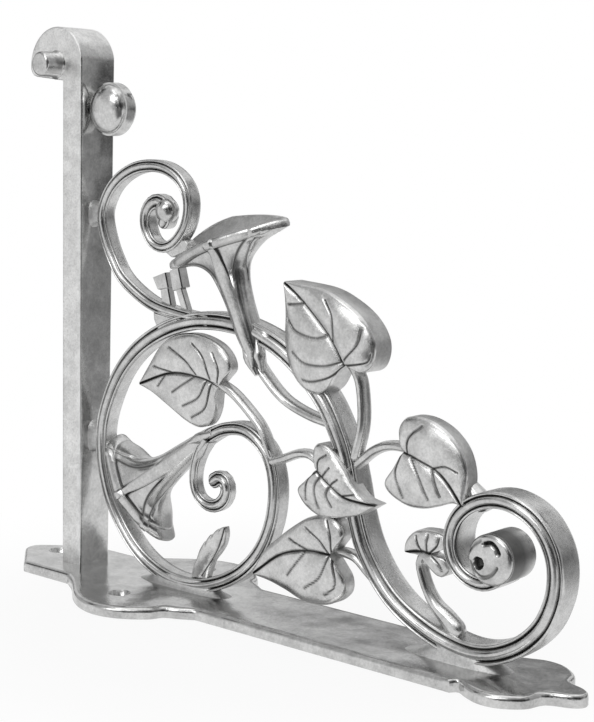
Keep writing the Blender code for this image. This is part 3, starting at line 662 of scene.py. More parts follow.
ball = []
for step in range(SCROLL_BALL_STEPS + 1):
    angle = math.radians(DOME_END_TURN * (2.0 * step / SCROLL_BALL_STEPS - 1.0))
    ball.append((SCROLL_BALL_Y + SCROLL_BALL_DEPTH * math.sin(angle),
                 SCROLL_BALL_RADIUS * math.cos(angle)))
scroll_ball = turned("scroll_ball", SCROLL_BALL, ball, SCROLL_BALL_SIDES)

# The leaves.
# Heart-shaped leaves with thick plain sides, domed between their veins. The midrib and the veins
# are chased into the polished front with a fine tool, and the backs are flat.

LEAVES = {
    "large_leaf": dict(
        midrib=((158.9, 109.2), (151.3, 119.9), (139.5, 130.6), (127.9, 139.1)),
        left=((154.6, 106.0), (150.6, 99.6), (145.1, 96.6), (138.4, 98.0), (132.9, 102.6),
              (129.6, 109.3), (128.4, 117.0), (128.6, 127.0), (127.9, 139.1)),
        right=((161.6, 109.6), (166.0, 107.2), (170.6, 109.6), (172.6, 115.6), (171.2, 121.6),
               (165.9, 128.0), (157.2, 133.4), (145.9, 137.4), (127.9, 139.1)),
        veins=(((130.8, 130.5), (138.5, 131.2)), ((131.1, 124.3), (135.8, 120.5), (144.8, 118.6),
               (151.2, 120.0)), ((133.5, 112.1), (140.1, 108.5), (150.0, 108.4), (157.7, 110.7)),
               ((138.3, 101.7), (143.8, 101.6), (152.6, 104.4), (158.3, 108.9)),
               ((149.3, 133.5), (153.4, 127.0), (153.6, 117.9)),
               ((166.9, 123.7), (165.6, 117.9), (159.2, 111.6)),
               ((171.0, 114.8), (169.1, 111.5), (160.2, 109.5))),
        front=-6.6, back=4.2, dome=2.6, rows=112, columns=38),
    "upper_leaf": dict(
        midrib=((91.1, 93.6), (81.0, 95.9), (64.0, 96.0), (44.9, 89.2)),
        left=((90.6, 89.8), (89.4, 82.4), (85.8, 77.0), (79.6, 75.0), (72.7, 76.6), (66.6, 79.4),
              (60.4, 82.6), (52.4, 86.6), (44.9, 89.2)),
        right=((93.8, 96.4), (97.6, 101.0), (95.6, 106.6), (89.1, 111.2), (77.8, 113.7),
               (66.3, 112.2), (57.4, 107.1), (50.4, 97.6), (44.9, 89.2)),
        veins=(((63.3, 107.0), (73.2, 102.5), (79.0, 97.0)), ((76.5, 109.9), (83.4, 104.8),
               (86.9, 96.0)), ((88.4, 107.0), (91.9, 100.4), (90.8, 95.0)),
               ((54.0, 98.0), (64.6, 96.5)), ((61.1, 95.0), (57.1, 89.8)),
               ((77.4, 95.6), (65.9, 88.3)), ((84.7, 94.6), (80.9, 87.6), (71.8, 83.1)),
               ((87.6, 94.0), (84.9, 83.9), (76.5, 78.7))),
        front=-3.6, back=1.2, dome=2.0, rows=100, columns=36),
    "right_leaf": dict(
        midrib=((187.0, 80.2), (194.0, 78.2), (204.0, 74.2), (213.9, 64.0)),
        left=((185.0, 77.6), (181.6, 72.0), (178.3, 67.0), (181.0, 63.2), (188.7, 60.2),
              (196.0, 60.2), (202.6, 62.0), (208.9, 64.2), (213.9, 64.0)),
        right=((185.2, 83.8), (184.6, 89.0), (187.4, 93.0), (193.4, 94.0), (200.2, 92.8),
               (207.2, 89.2), (212.9, 82.9), (215.4, 74.1), (213.9, 64.0)),
        veins=(((189.0, 80.0), (190.2, 86.0), (195.6, 91.1)), ((200.9, 76.0), (206.3, 77.6),
               (211.6, 76.1)), ((200.2, 75.8), (204.5, 66.2)), ((190.8, 79.0), (196.0, 71.0),
               (199.3, 64.3)), ((186.4, 79.6), (184.6, 72.0), (187.6, 63.2))),
        front=-6.4, back=0.6, dome=2.2, rows=84, columns=30),
    "middle_leaf": dict(
        midrib=((146.0, 67.4), (153.0, 62.6), (161.4, 58.6), (175.8, 58.1)),
        left=((144.0, 65.4), (140.2, 62.0), (136.6, 58.0), (140.3, 52.8), (146.9, 49.6),
              (153.4, 49.6), (160.0, 50.8), (167.8, 53.4), (175.8, 58.1)),
        right=((145.8, 70.2), (144.4, 74.0), (145.6, 77.4), (149.6, 78.0), (154.6, 75.4),
               (159.6, 70.4), (164.7, 63.8), (169.4, 59.6), (175.8, 58.1)),
        veins=(((146.4, 67.0), (142.4, 63.1), (141.6, 55.1)), ((148.6, 65.6), (146.4, 60.6),
               (148.2, 53.0)), ((153.4, 62.6), (152.4, 58.6), (155.1, 54.5)),
               ((147.4, 67.0), (148.0, 71.6), (151.5, 74.2)), ((149.6, 65.4), (153.6, 69.5)),
               ((153.8, 62.8), (157.7, 65.6)), ((159.8, 59.4), (165.1, 60.8))),
        front=-7.0, back=-0.6, dome=1.8, rows=78, columns=28),
    "lower_leaf": dict(
        midrib=((153.4, 35.2), (142.0, 34.8), (128.0, 30.4), (113.9, 20.0)),
        left=((156.4, 32.0), (160.6, 26.6), (160.6, 21.0), (155.4, 16.2), (147.6, 14.0),
              (139.3, 14.2), (131.5, 16.6), (122.6, 18.8), (113.9, 20.0)),
        right=((156.2, 38.2), (159.6, 43.6), (157.0, 48.4), (150.9, 50.0), (143.0, 48.4),
               (135.0, 43.6), (127.0, 37.4), (119.0, 30.0), (113.9, 20.0)),
        veins=(((142.0, 44.3), (149.1, 40.4), (153.4, 35.3)), ((151.9, 48.8), (154.4, 43.0),
               (154.6, 36.4)), ((134.0, 38.5), (142.7, 35.2)), ((141.8, 34.4), (133.3, 23.5)),
               ((153.4, 34.6), (149.6, 25.6), (142.1, 20.0)), ((155.0, 34.4), (157.1, 24.2),
               (151.8, 18.7))),
        front=-6.6, back=0.0, dome=2.0, rows=92, columns=33),
    "sprig_leaf": dict(
        midrib=((198.8, 43.4), (195.6, 43.8), (191.8, 43.2), (187.2, 42.0)),
        left=((200.4, 42.4), (205.6, 42.4), (207.0, 38.4), (203.6, 35.4), (199.8, 37.4),
              (196.8, 40.8), (193.4, 42.0), (190.4, 42.0), (187.2, 42.0)),
        right=((200.8, 45.0), (205.0, 46.4), (205.8, 49.8), (202.2, 51.8), (197.0, 52.0),
               (192.4, 51.2), (189.2, 48.8), (187.4, 45.6), (187.2, 42.0)),
        veins=(((198.6, 43.6), (202.0, 47.0), (202.8, 50.0)), ((197.4, 43.8), (197.6, 47.6),
               (198.0, 50.6)), ((195.2, 43.6), (193.6, 46.4), (192.4, 49.4)),
               ((199.6, 43.0), (203.0, 40.6), (204.4, 38.2))),
        front=-4.2, back=2.2, dome=1.2, rows=56, columns=18),
    "flame_leaf": dict(
        midrib=((81.6, 12.0), (87.0, 19.0), (91.2, 25.6), (94.7, 35.3)),
        left=((75.6, 10.2), (76.6, 15.0), (78.6, 19.2), (80.3, 23.4), (82.6, 26.9), (83.6, 26.9),
              (84.6, 29.0), (86.2, 30.6), (87.2, 30.4), (88.2, 32.0), (90.2, 33.6), (91.2, 33.4),
              (92.2, 34.6), (94.7, 35.3)),
        right=((84.6, 10.6), (86.6, 16.0), (88.8, 20.6), (91.0, 23.2), (92.8, 25.6),
               (94.2, 28.0), (94.9, 30.4), (95.2, 32.8), (94.7, 35.3)),
        veins=(), front=-2.4, back=0.4, dome=0.9, rows=56, columns=14, midrib_depth=0.4),
}
MIDRIB_SPANS = 24
LEAF_SIDE_SPANS = 12
VEIN_SPANS = 5
VEIN_HALF_WIDTH = 0.36
VEIN_DEPTH = 0.5
# How strongly the chased veins and midrib are painted dark with shade.
VEIN_SHADE_GAIN = 1.7
VEIN_SHADE_POWER = 1.5
MIDRIB_HALF_WIDTH = 0.42
MIDRIB_DEPTH = 0.6
VEIN_END = 0.9
VEIN_FADE = 0.08
ROW_CROWDING = 1.25
DOME_RUN = 8.0
DOME_FOOT = 1.2
DOME_SPAN = 9.6
DOME_SIDE = 3.6
DOME_MIDRIB = 0.45
PANEL_SWELL = 0.22
PANEL_REACH = 2.2
RIM_ROLL = 0.06
RIM_WALL = 0.25
TIP_DROP = 0.3
BACK_MIDDLE = 0.35
BACK_EDGE = ((-0.5, 0.0), (-0.1, 0.35), (0.0, 0.8))
LEAF_ROUGH = 0.8
LEAF_SATIN = 0.25
RIM_DROP = 0.7


def distance_to(lines, x, z):
    """The distance in millimetres from a point to the nearest of some lines."""
    best = 1e9
    for line in lines:
        for a, b in zip(line, line[1:]):
            run_x = b.x - a.x
            run_z = b.y - a.y
            t = ((x - a.x) * run_x + (z - a.y) * run_z) / (run_x * run_x + run_z * run_z)
            t = clamped(t)
            best = min(best, math.hypot(x - a.x - run_x * t, z - a.y - run_z * t))
    return best


def leaf(name, midrib, left, right, veins, front, back, dome, rows, columns,
         midrib_depth=MIDRIB_DEPTH):
    """A heart shaped leaf with a domed front, chased veins, a rolled edge and a plain back."""
    spine = smooth_line(midrib, MIDRIB_SPANS)
    rims = [smooth_line(rim, LEAF_SIDE_SPANS) for rim in (left, right)]
    vein_lines = [smooth_line(v, VEIN_SPANS) for v in veins]
    points = []
    shade_marks = []
    for row in range(rows):
        q = row / rows
        middle = along(spine, q ** ROW_CROWDING)
        reach = math.sin(math.pi * min(q * DOME_RUN + DOME_FOOT, DOME_RUN) / DOME_SPAN)
        for column in range(-columns, columns + 1):
            v = abs(column) / columns
            rim = along(rims[0] if column < 0 else rims[1], q)
            place = middle.lerp(rim, v)
            swell = DOME_SIDE * v * (1.0 - v) + DOME_MIDRIB * (1.0 - v) ** 2
            near = distance_to(vein_lines, place.x, place.y) if vein_lines else 1e9
            rib = distance_to([spine[::4]], place.x, place.y)
            edge = clamped((v - 1.0 + RIM_ROLL) / RIM_ROLL)
            fade = 1.0 - clamped((v - VEIN_END) / VEIN_FADE)
            cut = VEIN_DEPTH * math.exp(-(near / VEIN_HALF_WIDTH) ** 2) * fade
            cut = max(cut, midrib_depth * math.exp(-(rib / MIDRIB_HALF_WIDTH) ** 2))
            panel = PANEL_SWELL * (1.0 - math.exp(-(min(near, rib) / PANEL_REACH) ** 2)) * fade
            y = front - dome * reach * swell + cut - panel * reach + RIM_DROP * edge * edge
            points.append((place.x, y, place.y))
            # Painted shade in the veins and midrib, as deep as they are cut.
            shade_marks.append(min(1.0, VEIN_SHADE_GAIN * cut / VEIN_DEPTH) ** VEIN_SHADE_POWER)
    width = 2 * columns + 1
    tip = len(points)
    points.append((spine[-1].x, front + TIP_DROP, spine[-1].y))
    shade_marks.append(0.0)
    faces = []
    for row in range(rows - 1):
        for column in range(width - 1):
            a = row * width + column
            faces.append((a, a + 1, a + width + 1, a + width))
    last = (rows - 1) * width
    for column in range(width - 1):
        faces.append((last + column, last + column + 1, tip))
    loop = [row * width for row in range(rows)] + [tip]
    loop += [row * width + width - 1 for row in range(rows - 1, -1, -1)]
    loop += range(width - 2, 0, -1)
    count = len(loop)
    ring_start = len(points)
    middle = along(spine, BACK_MIDDLE)
    for index in loop:
        x, top, z = points[index]
        points.append((x, top + RIM_WALL, z))
    for y, draw in BACK_EDGE:
        for index in loop:
            x, top, z = points[index]
            pull = Vector((middle.x - x, middle.y - z)).normalized() * draw
            points.append((x + pull.x, back + y, z + pull.y))
    plain = len(points) - ring_start
    shade_marks += [0.0] * plain
    rough = [0.0] * ring_start + [LEAF_ROUGH] * plain
    satin = [LEAF_SATIN] * ring_start + [0.0] * plain
    rings = [loop] + [list(range(start, start + count))
                      for start in range(ring_start, len(points), count)]
    for upper, lower in zip(rings, rings[1:]):
        for k in range(count):
            after = (k + 1) % count
            faces.append((upper[k], upper[after], lower[after], lower[k]))
    faces.append(tuple(rings[-1]))
    return shell(name, [in_metres(*p) for p in points], faces,
                 {"painted_shade": shade_marks, "rough": rough, "satin": satin}, sharp=48.0)


leaves = [leaf(name, **shape) for name, shape in LEAVES.items()]

# The eye of the volute.
# A thick rolled end that fills the last turn of the volute. Its domed face has a small blind hole
# and is chased with two curved lines, so it reads as a roll, and its side is plain.

VOLUTE_EYE_CENTRE = (227.2, 47.0)
VOLUTE_EYE_RADIUS = 9.4
VOLUTE_EYE_FRONT = -8.5
VOLUTE_EYE_BACK = 8.2
VOLUTE_EYE_DOME = 0.8
VOLUTE_HOLE = (223.0, 45.4)
VOLUTE_HOLE_RADIUS = 2.4
VOLUTE_HOLE_DEPTH = 3.0
VOLUTE_LINES = (
    ((219.2, 45.0), (221.6, 41.6), (224.8, 40.4), (228.4, 42.0), (230.6, 44.8)),
    ((225.0, 52.7), (227.6, 53.4), (229.8, 52.2), (231.2, 50.2)),
    ((218.4, 49.0), (220.4, 51.6), (223.2, 53.6)),
)
VOLUTE_LINE_DEPTHS = (0.8, 1.7, 0.6)
VOLUTE_LINE_HALF = 0.62
VOLUTE_LINE_SPANS = 6
VOLUTE_HOLE_SHADE = 0.5
VOLUTE_TURNS = 96
VOLUTE_RINGS = 28
VOLUTE_INNERMOST = 0.004
VOLUTE_EDGE_START = 0.86
VOLUTE_EDGE_DROP = 0.9
VOLUTE_SIDE_ROUGH = 0.1
# Rows down the side as Y, radius and how much painted shade darkens it.
VOLUTE_SIDE = ((VOLUTE_EYE_FRONT + 2.0, VOLUTE_EYE_RADIUS, 0.82), (0.0, VOLUTE_EYE_RADIUS, 0.82),
               (VOLUTE_EYE_BACK - 0.6, VOLUTE_EYE_RADIUS, 0.1),
               (VOLUTE_EYE_BACK, VOLUTE_EYE_RADIUS - 0.8, 0.1))

eye_lines = [[smooth_line(line, VOLUTE_LINE_SPANS)] for line in VOLUTE_LINES]
eye_rings = []
eye_marks = []
eye_rough = []
for step in range(VOLUTE_RINGS + 1):
    ring = []
    share = max(step / VOLUTE_RINGS, VOLUTE_INNERMOST)
    edge = max(0.0, (share - VOLUTE_EDGE_START) / (1.0 - VOLUTE_EDGE_START))
    for point in circle(VOLUTE_EYE_CENTRE, VOLUTE_EYE_RADIUS * share, VOLUTE_TURNS):
        cut = 0.0
        for lines, depth in zip(eye_lines, VOLUTE_LINE_DEPTHS):
            near = distance_to(lines, point.x, point.y)
            cut = max(cut, depth * math.exp(-(near / VOLUTE_LINE_HALF) ** 2))
        out = (point - Vector(VOLUTE_HOLE)).length / VOLUTE_HOLE_RADIUS
        hole = max(0.0, 1.0 - out ** 4) * VOLUTE_HOLE_DEPTH
        dome = VOLUTE_EDGE_DROP * edge ** 2 - VOLUTE_EYE_DOME * (1.0 - share * share)
        ring.append(in_metres(point.x, VOLUTE_EYE_FRONT + dome + cut + hole, point.y))
        # The chased lines and the blind hole are painted dark with shade.
        eye_marks.append(min(1.0, cut + hole * VOLUTE_HOLE_SHADE))
        eye_rough.append(0.0)
    eye_rings.append(ring)
for y, radius, shade_level in VOLUTE_SIDE:
    eye_rings.append([in_metres(p.x, y, p.y)
                      for p in circle(VOLUTE_EYE_CENTRE, radius, VOLUTE_TURNS)])
    eye_marks += [shade_level] * VOLUTE_TURNS
    eye_rough += [VOLUTE_SIDE_ROUGH] * VOLUTE_TURNS
volute_eye = loft("volute_eye", eye_rings, {"painted_shade": eye_marks, "rough": eye_rough}, sharp=50.0)

# The trumpet flowers.
# Each flares from its calyx to a five cornered rim with a shallow mouth. A flat rib runs up the
# trumpet to each corner of the rim and ends there in a nub, and the skin between the ribs is sunk
# behind a scored edge, up to a raised band round the rim.

FLOWERS = {
    "upper_flower": dict(
        axis=((111.6, 103.6), (109.3, 109.8), (105.4, 117.9), (101.0, 127.6), (96.9, 136.7),
              (94.4, 143.6), (92.8, 149.2), (91.8, 152.6)),
        halves=(2.2, 4.2, 5.6, 6.0, 7.6, 11.0, 19.0, 31.0), neck_depth=4.4, rim_depth=8.6,
        middle_y=-2.4, rim_slope=(1.0, 0.3), back_lift=6.5, droops=(5.0, 3.2), open_at=0.5,
        rear_swell=0.0,
        corners=((-0.03, -1.0), (0.3, -0.74), (0.61, -0.36), (0.97, 0.4), (0.8, 0.93),
                 (0.1, 1.0), (-0.62, 0.95), (-1.0, 0.35), (-0.9, -0.32), (-0.48, -0.74))),
    "lower_flower": dict(
        axis=((87.0, 74.0), (81.0, 70.2), (69.6, 62.0), (57.6, 53.4), (48.0, 47.4), (42.8, 44.4),
              (39.6, 42.4)),
        halves=(2.6, 3.6, 5.2, 7.0, 10.6, 16.4, 24.6), neck_depth=3.8, rim_depth=9.0,
        middle_y=0.4, rim_slope=(0.62, -0.78), back_lift=-1.0, droops=(1.0, 1.0), open_at=0.42,
        rear_swell=4.5,
        corners=((0.03, -1.03), (0.38, -0.85), (0.7, -0.56), (1.0, 0.1), (0.93, 0.85),
                 (0.0, 1.0), (-0.93, 0.85), (-1.0, 0.1), (-0.79, -0.52), (-0.4, -0.84))),
}
RIM_THICKNESS = 3.4
# The band round the rim as rise, growth and nub, and the mouth as size and how far it is sunk.
RIM_BAND = ((0.4, 0.6, 0.8), (1.5, 0.75, 1.0), (2.6, 0.55, 1.0), (3.1, 0.3, 0.8),
            (RIM_THICKNESS, -0.2, 0.4), (RIM_THICKNESS, -0.9, 0.0))
MOUTH = ((0.93, 0.1), (0.86, 0.5), (0.7, 1.3), (0.5, 2.2), (0.25, 3.0))
RIBS = 5
RIB_HALF_WIDTHS = (0.09, 0.068, 0.038, 0.019, 0.013)
RIB_EDGE = 0.011
RIB_EDGE_ROOM = 0.6
RIB_EDGE_SUNK = 0.6
SKIN_SUNK = 1.2
SKIN_STEPS = 6
NUB = 0.9
FLOWER_SPANS = 6
BAND_START = 0.93
# The step up to the band as growth, depth, sunk skin, nub and painted shade.
BAND_STEP = ((-0.9, 0.0, 1.0, 0.0, 0.9), (-0.3, 0.3, 0.0, 0.5, 0.5))
SKIN_EASE = 0.14
SWELL_START = 0.55
SWELL_RUN = 0.5
FRONT_TURN = 0.2
REAR_ROUGH = 0.9
MOUTH_ROUGH = 0.35
FRONT_DROP = 0.4
REAR_FALL = 0.72


def eased(x):
    """Zero below zero, one above one and smooth between."""
    x = clamped(x)
    return x * x * (3.0 - 2.0 * x)


def round_place(corners, turn):
    """A place on the smooth closed line through some corners, by the fraction of the way round."""
    count = len(corners)
    place = (turn % 1.0) * count
    low = int(place)
    near = [Vector(corners[(low + n) % count]) for n in (-1, 0, 1, 2)]
    return curve_point(*near, place - low)


def rib_turns(half_rib):
    """Places round one ring as turn, how far the skin is sunk there and how much painted shade its
    edge gets.
    """
    edge = min(RIB_EDGE, (0.5 / RIBS - half_rib) * RIB_EDGE_ROOM)
    near = [(half_rib * k / 3, 0.0, 0.0) for k in range(3)] + [(half_rib, 0.0, 0.5)]
    near.append((half_rib + edge * 0.5, RIB_EDGE_SUNK, 1.0))
    inner = half_rib + edge
    skin = [(inner + (0.5 / RIBS - inner) * k / SKIN_STEPS, 1.0, 0.8 if k == 0 else 0.0)
            for k in range(SKIN_STEPS)]
    half = near + skin
    middle = [(0.5 / RIBS, 1.0, 0.0)]
    rest = [(1.0 / RIBS - turn, sunk, shade_level) for turn, sunk, shade_level in half[:0:-1]]
    turns = []
    for corner in range(RIBS):
        turns += [(corner / RIBS + turn, sunk, shade_level) for turn, sunk, shade_level in half + middle + rest]
    return turns


def trumpet(name, axis, halves, neck_depth, rim_depth, middle_y, rim_slope, back_lift, droops,
            open_at, rear_swell, corners):
    """A trumpet flower with flat ribs, sunk skin between them and a raised band round the rim."""
    line = smooth_line(axis, FLOWER_SPANS)
    wide = [p.x for p in smooth_line([(h, 0.0) for h in halves], FLOWER_SPANS)]
    rim = Vector(rim_slope).normalized()
    rings = []
    shade_marks = []
    rough = []

    def ring(place, across, heading, half, depth, flare, t, skin=1.0, nub=0.0, shade_level=0.0, matt=0.0,
             lift=1.0):
        half_rib = along(RIB_HALF_WIDTHS, (t - open_at) / (1.0 - open_at))
        opened = eased((t - open_at) / SKIN_EASE) * skin
        swell = rear_swell * math.sin(math.pi * eased((t - SWELL_START) / SWELL_RUN))
        kept = 1.0 / RIBS + half_rib + RIB_EDGE
        points = []
        for turn, sunk, edge in rib_turns(half_rib):
            front = turn % 1.0 < kept or turn % 1.0 > 1.0 - kept
            if not front:
                sunk = edge = 0.0
            sink = SKIN_SUNK * opened
            rear = 0.0
            if not front:
                rear = math.sin(math.pi * (turn % 1.0 - FRONT_TURN) / (1.0 - 2.0 * FRONT_TURN))
            angle = 2 * math.pi * turn
            neck = Vector((math.sin(angle), -math.cos(angle)))
            at = neck.lerp(round_place(corners, turn), math.sqrt(flare))
            u, v = at
            out = math.hypot(u * half, v * depth)
            grow = 1.0 - sink * sunk / max(out, 1.0)
            grow += swell * rear / max(out, 1.0)
            if front and min(turn * RIBS % 1.0, -turn * RIBS % 1.0) < half_rib * RIBS + 0.001:
                grow += nub / max(out, 1.0)
            droop = droops[0] if u < 0 else droops[1]
            raised = back_lift * v * (1.0 - REAR_FALL * max(u, 0.0) if v > 0 else FRONT_DROP)
            rise = flare * lift * (raised - droop * u * u)
            points.append(in_metres(place.x + across.x * u * half * grow + heading.x * rise,
                                    middle_y + v * depth * grow,
                                    place.y + across.y * u * half * grow + heading.y * rise))
            # The scored edges and the step up to the band are painted dark with shade.
            shade_marks.append(max(edge * opened, shade_level * sunk))
            rough.append(max(matt, REAR_ROUGH * rear))
        rings.append(points)

    count = len(line)
    for i, place in enumerate(line):
        heading = (line[min(i + 1, count - 1)] - line[max(i - 1, 0)]).normalized()
        across = Vector((heading.y, -heading.x))
        if across.dot(rim) < 0:
            across.negate()
        flare = max((wide[i] - halves[1]) / (halves[-1] - halves[1]), 0.0)
        across = across.lerp(rim, math.sqrt(flare)).normalized()
        depth = neck_depth + (rim_depth - neck_depth) * math.sqrt(flare)
        t = i / (count - 1)
        if t > BAND_START:
            break
        ring(place, across, heading, wide[i], depth, flare, t)
    for grow, deeper, skin, nub, shade_level in BAND_STEP:
        ring(place, across, heading, wide[i] + grow, depth + deeper, flare, t, skin, NUB * nub,
             shade_level)
    heading = (line[-1] - line[-2]).normalized()
    for rise, grow, nub in RIM_BAND:
        ring(line[-1] + heading * rise, rim, heading, halves[-1] + grow, rim_depth + grow, 1.0,
             1.0, skin=0.0, nub=NUB * nub)
    for share, sink in MOUTH:
        ring(line[-1] + heading * (RIM_THICKNESS - sink), rim, heading, halves[-1] * share,
             rim_depth * share, 1.0, 1.0, skin=0.0, matt=MOUTH_ROUGH, lift=share)
    return loft(name, rings, {"painted_shade": shade_marks, "rough": rough}, sharp=52.0)


flowers = [trumpet(name, **shape) for name, shape in FLOWERS.items()]

# The posts and the fused joints.
# Two short square posts with wider heads tie the upper flower to the scroll below it. Where a
# member meets the plate, the arm or its neighbour, the metal of the casting flows out to it.

# Rows up each post as its left end, its right end and half its depth.
POSTS = (
    (((56.6, 121.6), (62.4, 121.5), 1.8), ((55.0, 130.0), (59.8, 131.0), 1.8),
     ((53.7, 130.2), (60.4, 131.4), 2.3), ((50.9, 134.9), (58.6, 137.6), 2.3)),
    (((68.6, 119.6), (72.2, 120.5), 1.6), ((64.0, 130.2), (67.4, 131.4), 1.6),
     ((63.0, 130.3), (68.8, 132.1), 2.6), ((61.0, 138.4), (66.4, 140.2), 2.6)),
)
POST_CHAMFER = 0.45
# Rows of height, low end, high end and half the width.
FEET = (
    ((4.2, 43.0, 98.0, 6.4), (4.9, 45.0, 95.0, 5.6), (6.0, 49.0, 91.0, 4.6), (8.0, 53.0, 88.0, 3.8),
     (9.6, 56.0, 84.0, 3.2)),
    ((4.2, 184.0, 236.0, 7.2), (4.8, 187.0, 233.0, 6.6), (6.2, 192.0, 229.0, 6.2),
     (8.4, 197.0, 224.0, 5.8), (10.4, 201.0, 220.0, 5.2)),
)
# Rows of distance from the arm, height, half the height and half the width.
ARM_JOINTS = (
    ((12.2, 160.0, 6.6, 4.0), (13.2, 160.0, 5.6, 3.6), (15.0, 160.4, 5.0, 3.3),
     (18.0, 160.8, 4.6, 3.0), (21.0, 161.2, 4.2, 2.8)),
    ((12.2, 62.0, 8.0, 4.2), (13.2, 62.0, 7.0, 3.8), (15.4, 62.0, 6.4, 3.5),
     (18.0, 62.4, 6.0, 3.2), (21.4, 62.8, 5.4, 3.0)),
)
# Each web has its outline and half its depth.
WEBS = (
    (((52.4, 121.2), (62.0, 121.4), (74.0, 118.4), (64.0, 115.2), (55.4, 113.2),
      (52.8, 117.4)), 3.2),
    (((56.5, 147.3), (61.6, 149.0), (66.3, 151.6), (70.4, 151.8), (72.0, 150.0), (71.0, 147.0),
      (62.5, 144.0)), 2.8),
)
JOINT_SIDES = 40
JOINT_SQUARENESS = 0.72
JOINT_SPANS = 4
WEB_EDGE = 0.7
WEB_STEP = 0.9
WEB_ROUGH = 0.8

small_members = []
for number, rows in enumerate(POSTS):
    post_rings = []
    for left, right_end, deep in rows:
        left = Vector(left)
        run = Vector(right_end) - left
        inset = POST_CHAMFER / run.length
        post_ring = [left + run * inset, left + run * (1.0 - inset), left + run,
                     left + run, left + run * (1.0 - inset), left + run * inset, left, left]
        depths = (-deep, -deep, POST_CHAMFER - deep, deep - POST_CHAMFER, deep, deep,
                  deep - POST_CHAMFER, POST_CHAMFER - deep)
        post_rings.append([in_metres(p.x, y, p.y) for p, y in zip(post_ring, depths)])
    small_members.append(loft("post_%d" % number, post_rings, sharp=25.0))


def fused_joint(name, rows, axes):
    """A joint that flows out to the member it meets, through squarish rings that axes turn."""
    rings = []
    for height, low, high, half_y in smooth_line([Vector(row) for row in rows], JOINT_SPANS):
        ring = []
        for c, s in circle((0.0, 0.0), 1.0, JOINT_SIDES):
            u = math.copysign(abs(c) ** JOINT_SQUARENESS, c)
            v = math.copysign(abs(s) ** JOINT_SQUARENESS, s)
            place = ((low + high) / 2 + u * (high - low) / 2, v * half_y, height)
            ring.append(in_metres(*(place[axis] for axis in axes)))
        rings.append(ring)
    return loft(name, rings, {"rough": [1.0] * (len(rings) * JOINT_SIDES)})


for number, rows in enumerate(FEET):
    small_members.append(fused_joint("foot_%d" % number, rows, (0, 1, 2)))
for number, rows in enumerate(ARM_JOINTS):
    rows = [(x, z - half, z + half, half_y) for x, z, half, half_y in rows]
    small_members.append(fused_joint("joint_%d" % number, rows, (2, 1, 0)))
for number, (corners, half_depth) in enumerate(WEBS):
    small_members.append(slab("web_%d" % number, corners, -half_depth, half_depth,
                              WEB_EDGE, WEB_STEP, rough=WEB_ROUGH))

# The casting.
# All of these members are poured as one casting in sand, then fettled and polished by hand, so
# they become one piece here. The metal is bright where the wheel reached, satin on the arm's
# flats, and painted dark with shade in the grooves, the chased lines and on the volute's side.

members = [wall_plate, shelf_arm, eye_of_curl, knob, reeded_stems, stalks, scroll_ball,
           volute_eye]
members += leaves + flowers + small_members
casting_data = bpy.data.meshes.new("bracket_casting_skin")
whole = bmesh.new()
for member in members:
    whole.from_mesh(member.data)
whole.to_mesh(casting_data)
whole.free()
for member in members:
    bpy.data.objects.remove(member, do_unlink=True)
casting = in_scene("bracket_casting_skin", casting_data)

# Each noise is given by its scale, detail and roughness.
CLOUD_NOISE = (35.0, 3.0, 0.5)
STAIN_NOISE = (140.0, 6.0, 0.7)
SPECK_NOISE = (900.0, 3.0, 0.6)
GRAIN_NOISE = (2600.0, 2.0, 0.6)
WAVE_NOISE = (48.0, 1.5, 0.5)
METAL_TONES = ((0.3, (0.8, 0.8, 0.795, 1.0)), (0.7, (0.92, 0.92, 0.915, 1.0)))
# The near black of the painted shade, and how much of it the mark mixes in.
PAINTED_SHADE_COLOUR = (0.06, 0.06, 0.058, 1.0)
PAINTED_SHADE_SHARE = 0.95
STAIN_START = 0.38
STAIN_END = 0.6
STAIN_LEVEL = 0.8
POLISHED_LEVEL = 0.78
SPECK_SHARE = 0.5
GRAIN_SHARE = 0.5
UNPOLISHED_LIFT = 0.25
BASE_ROUGHNESS = 0.02
# What clouds, satin, sandy metal, the painted shade mark, stains and specks add to the roughness.
ROUGHNESS_SHARES = (0.1, 0.22, 0.26, 0.3, 0.12, 0.06)
WAVE_HEIGHT = 0.0009
GRAIN_HEIGHT = 0.00012
POLISHED_GRAIN = 0.15
UNPOLISHED_GRAIN = 0.6


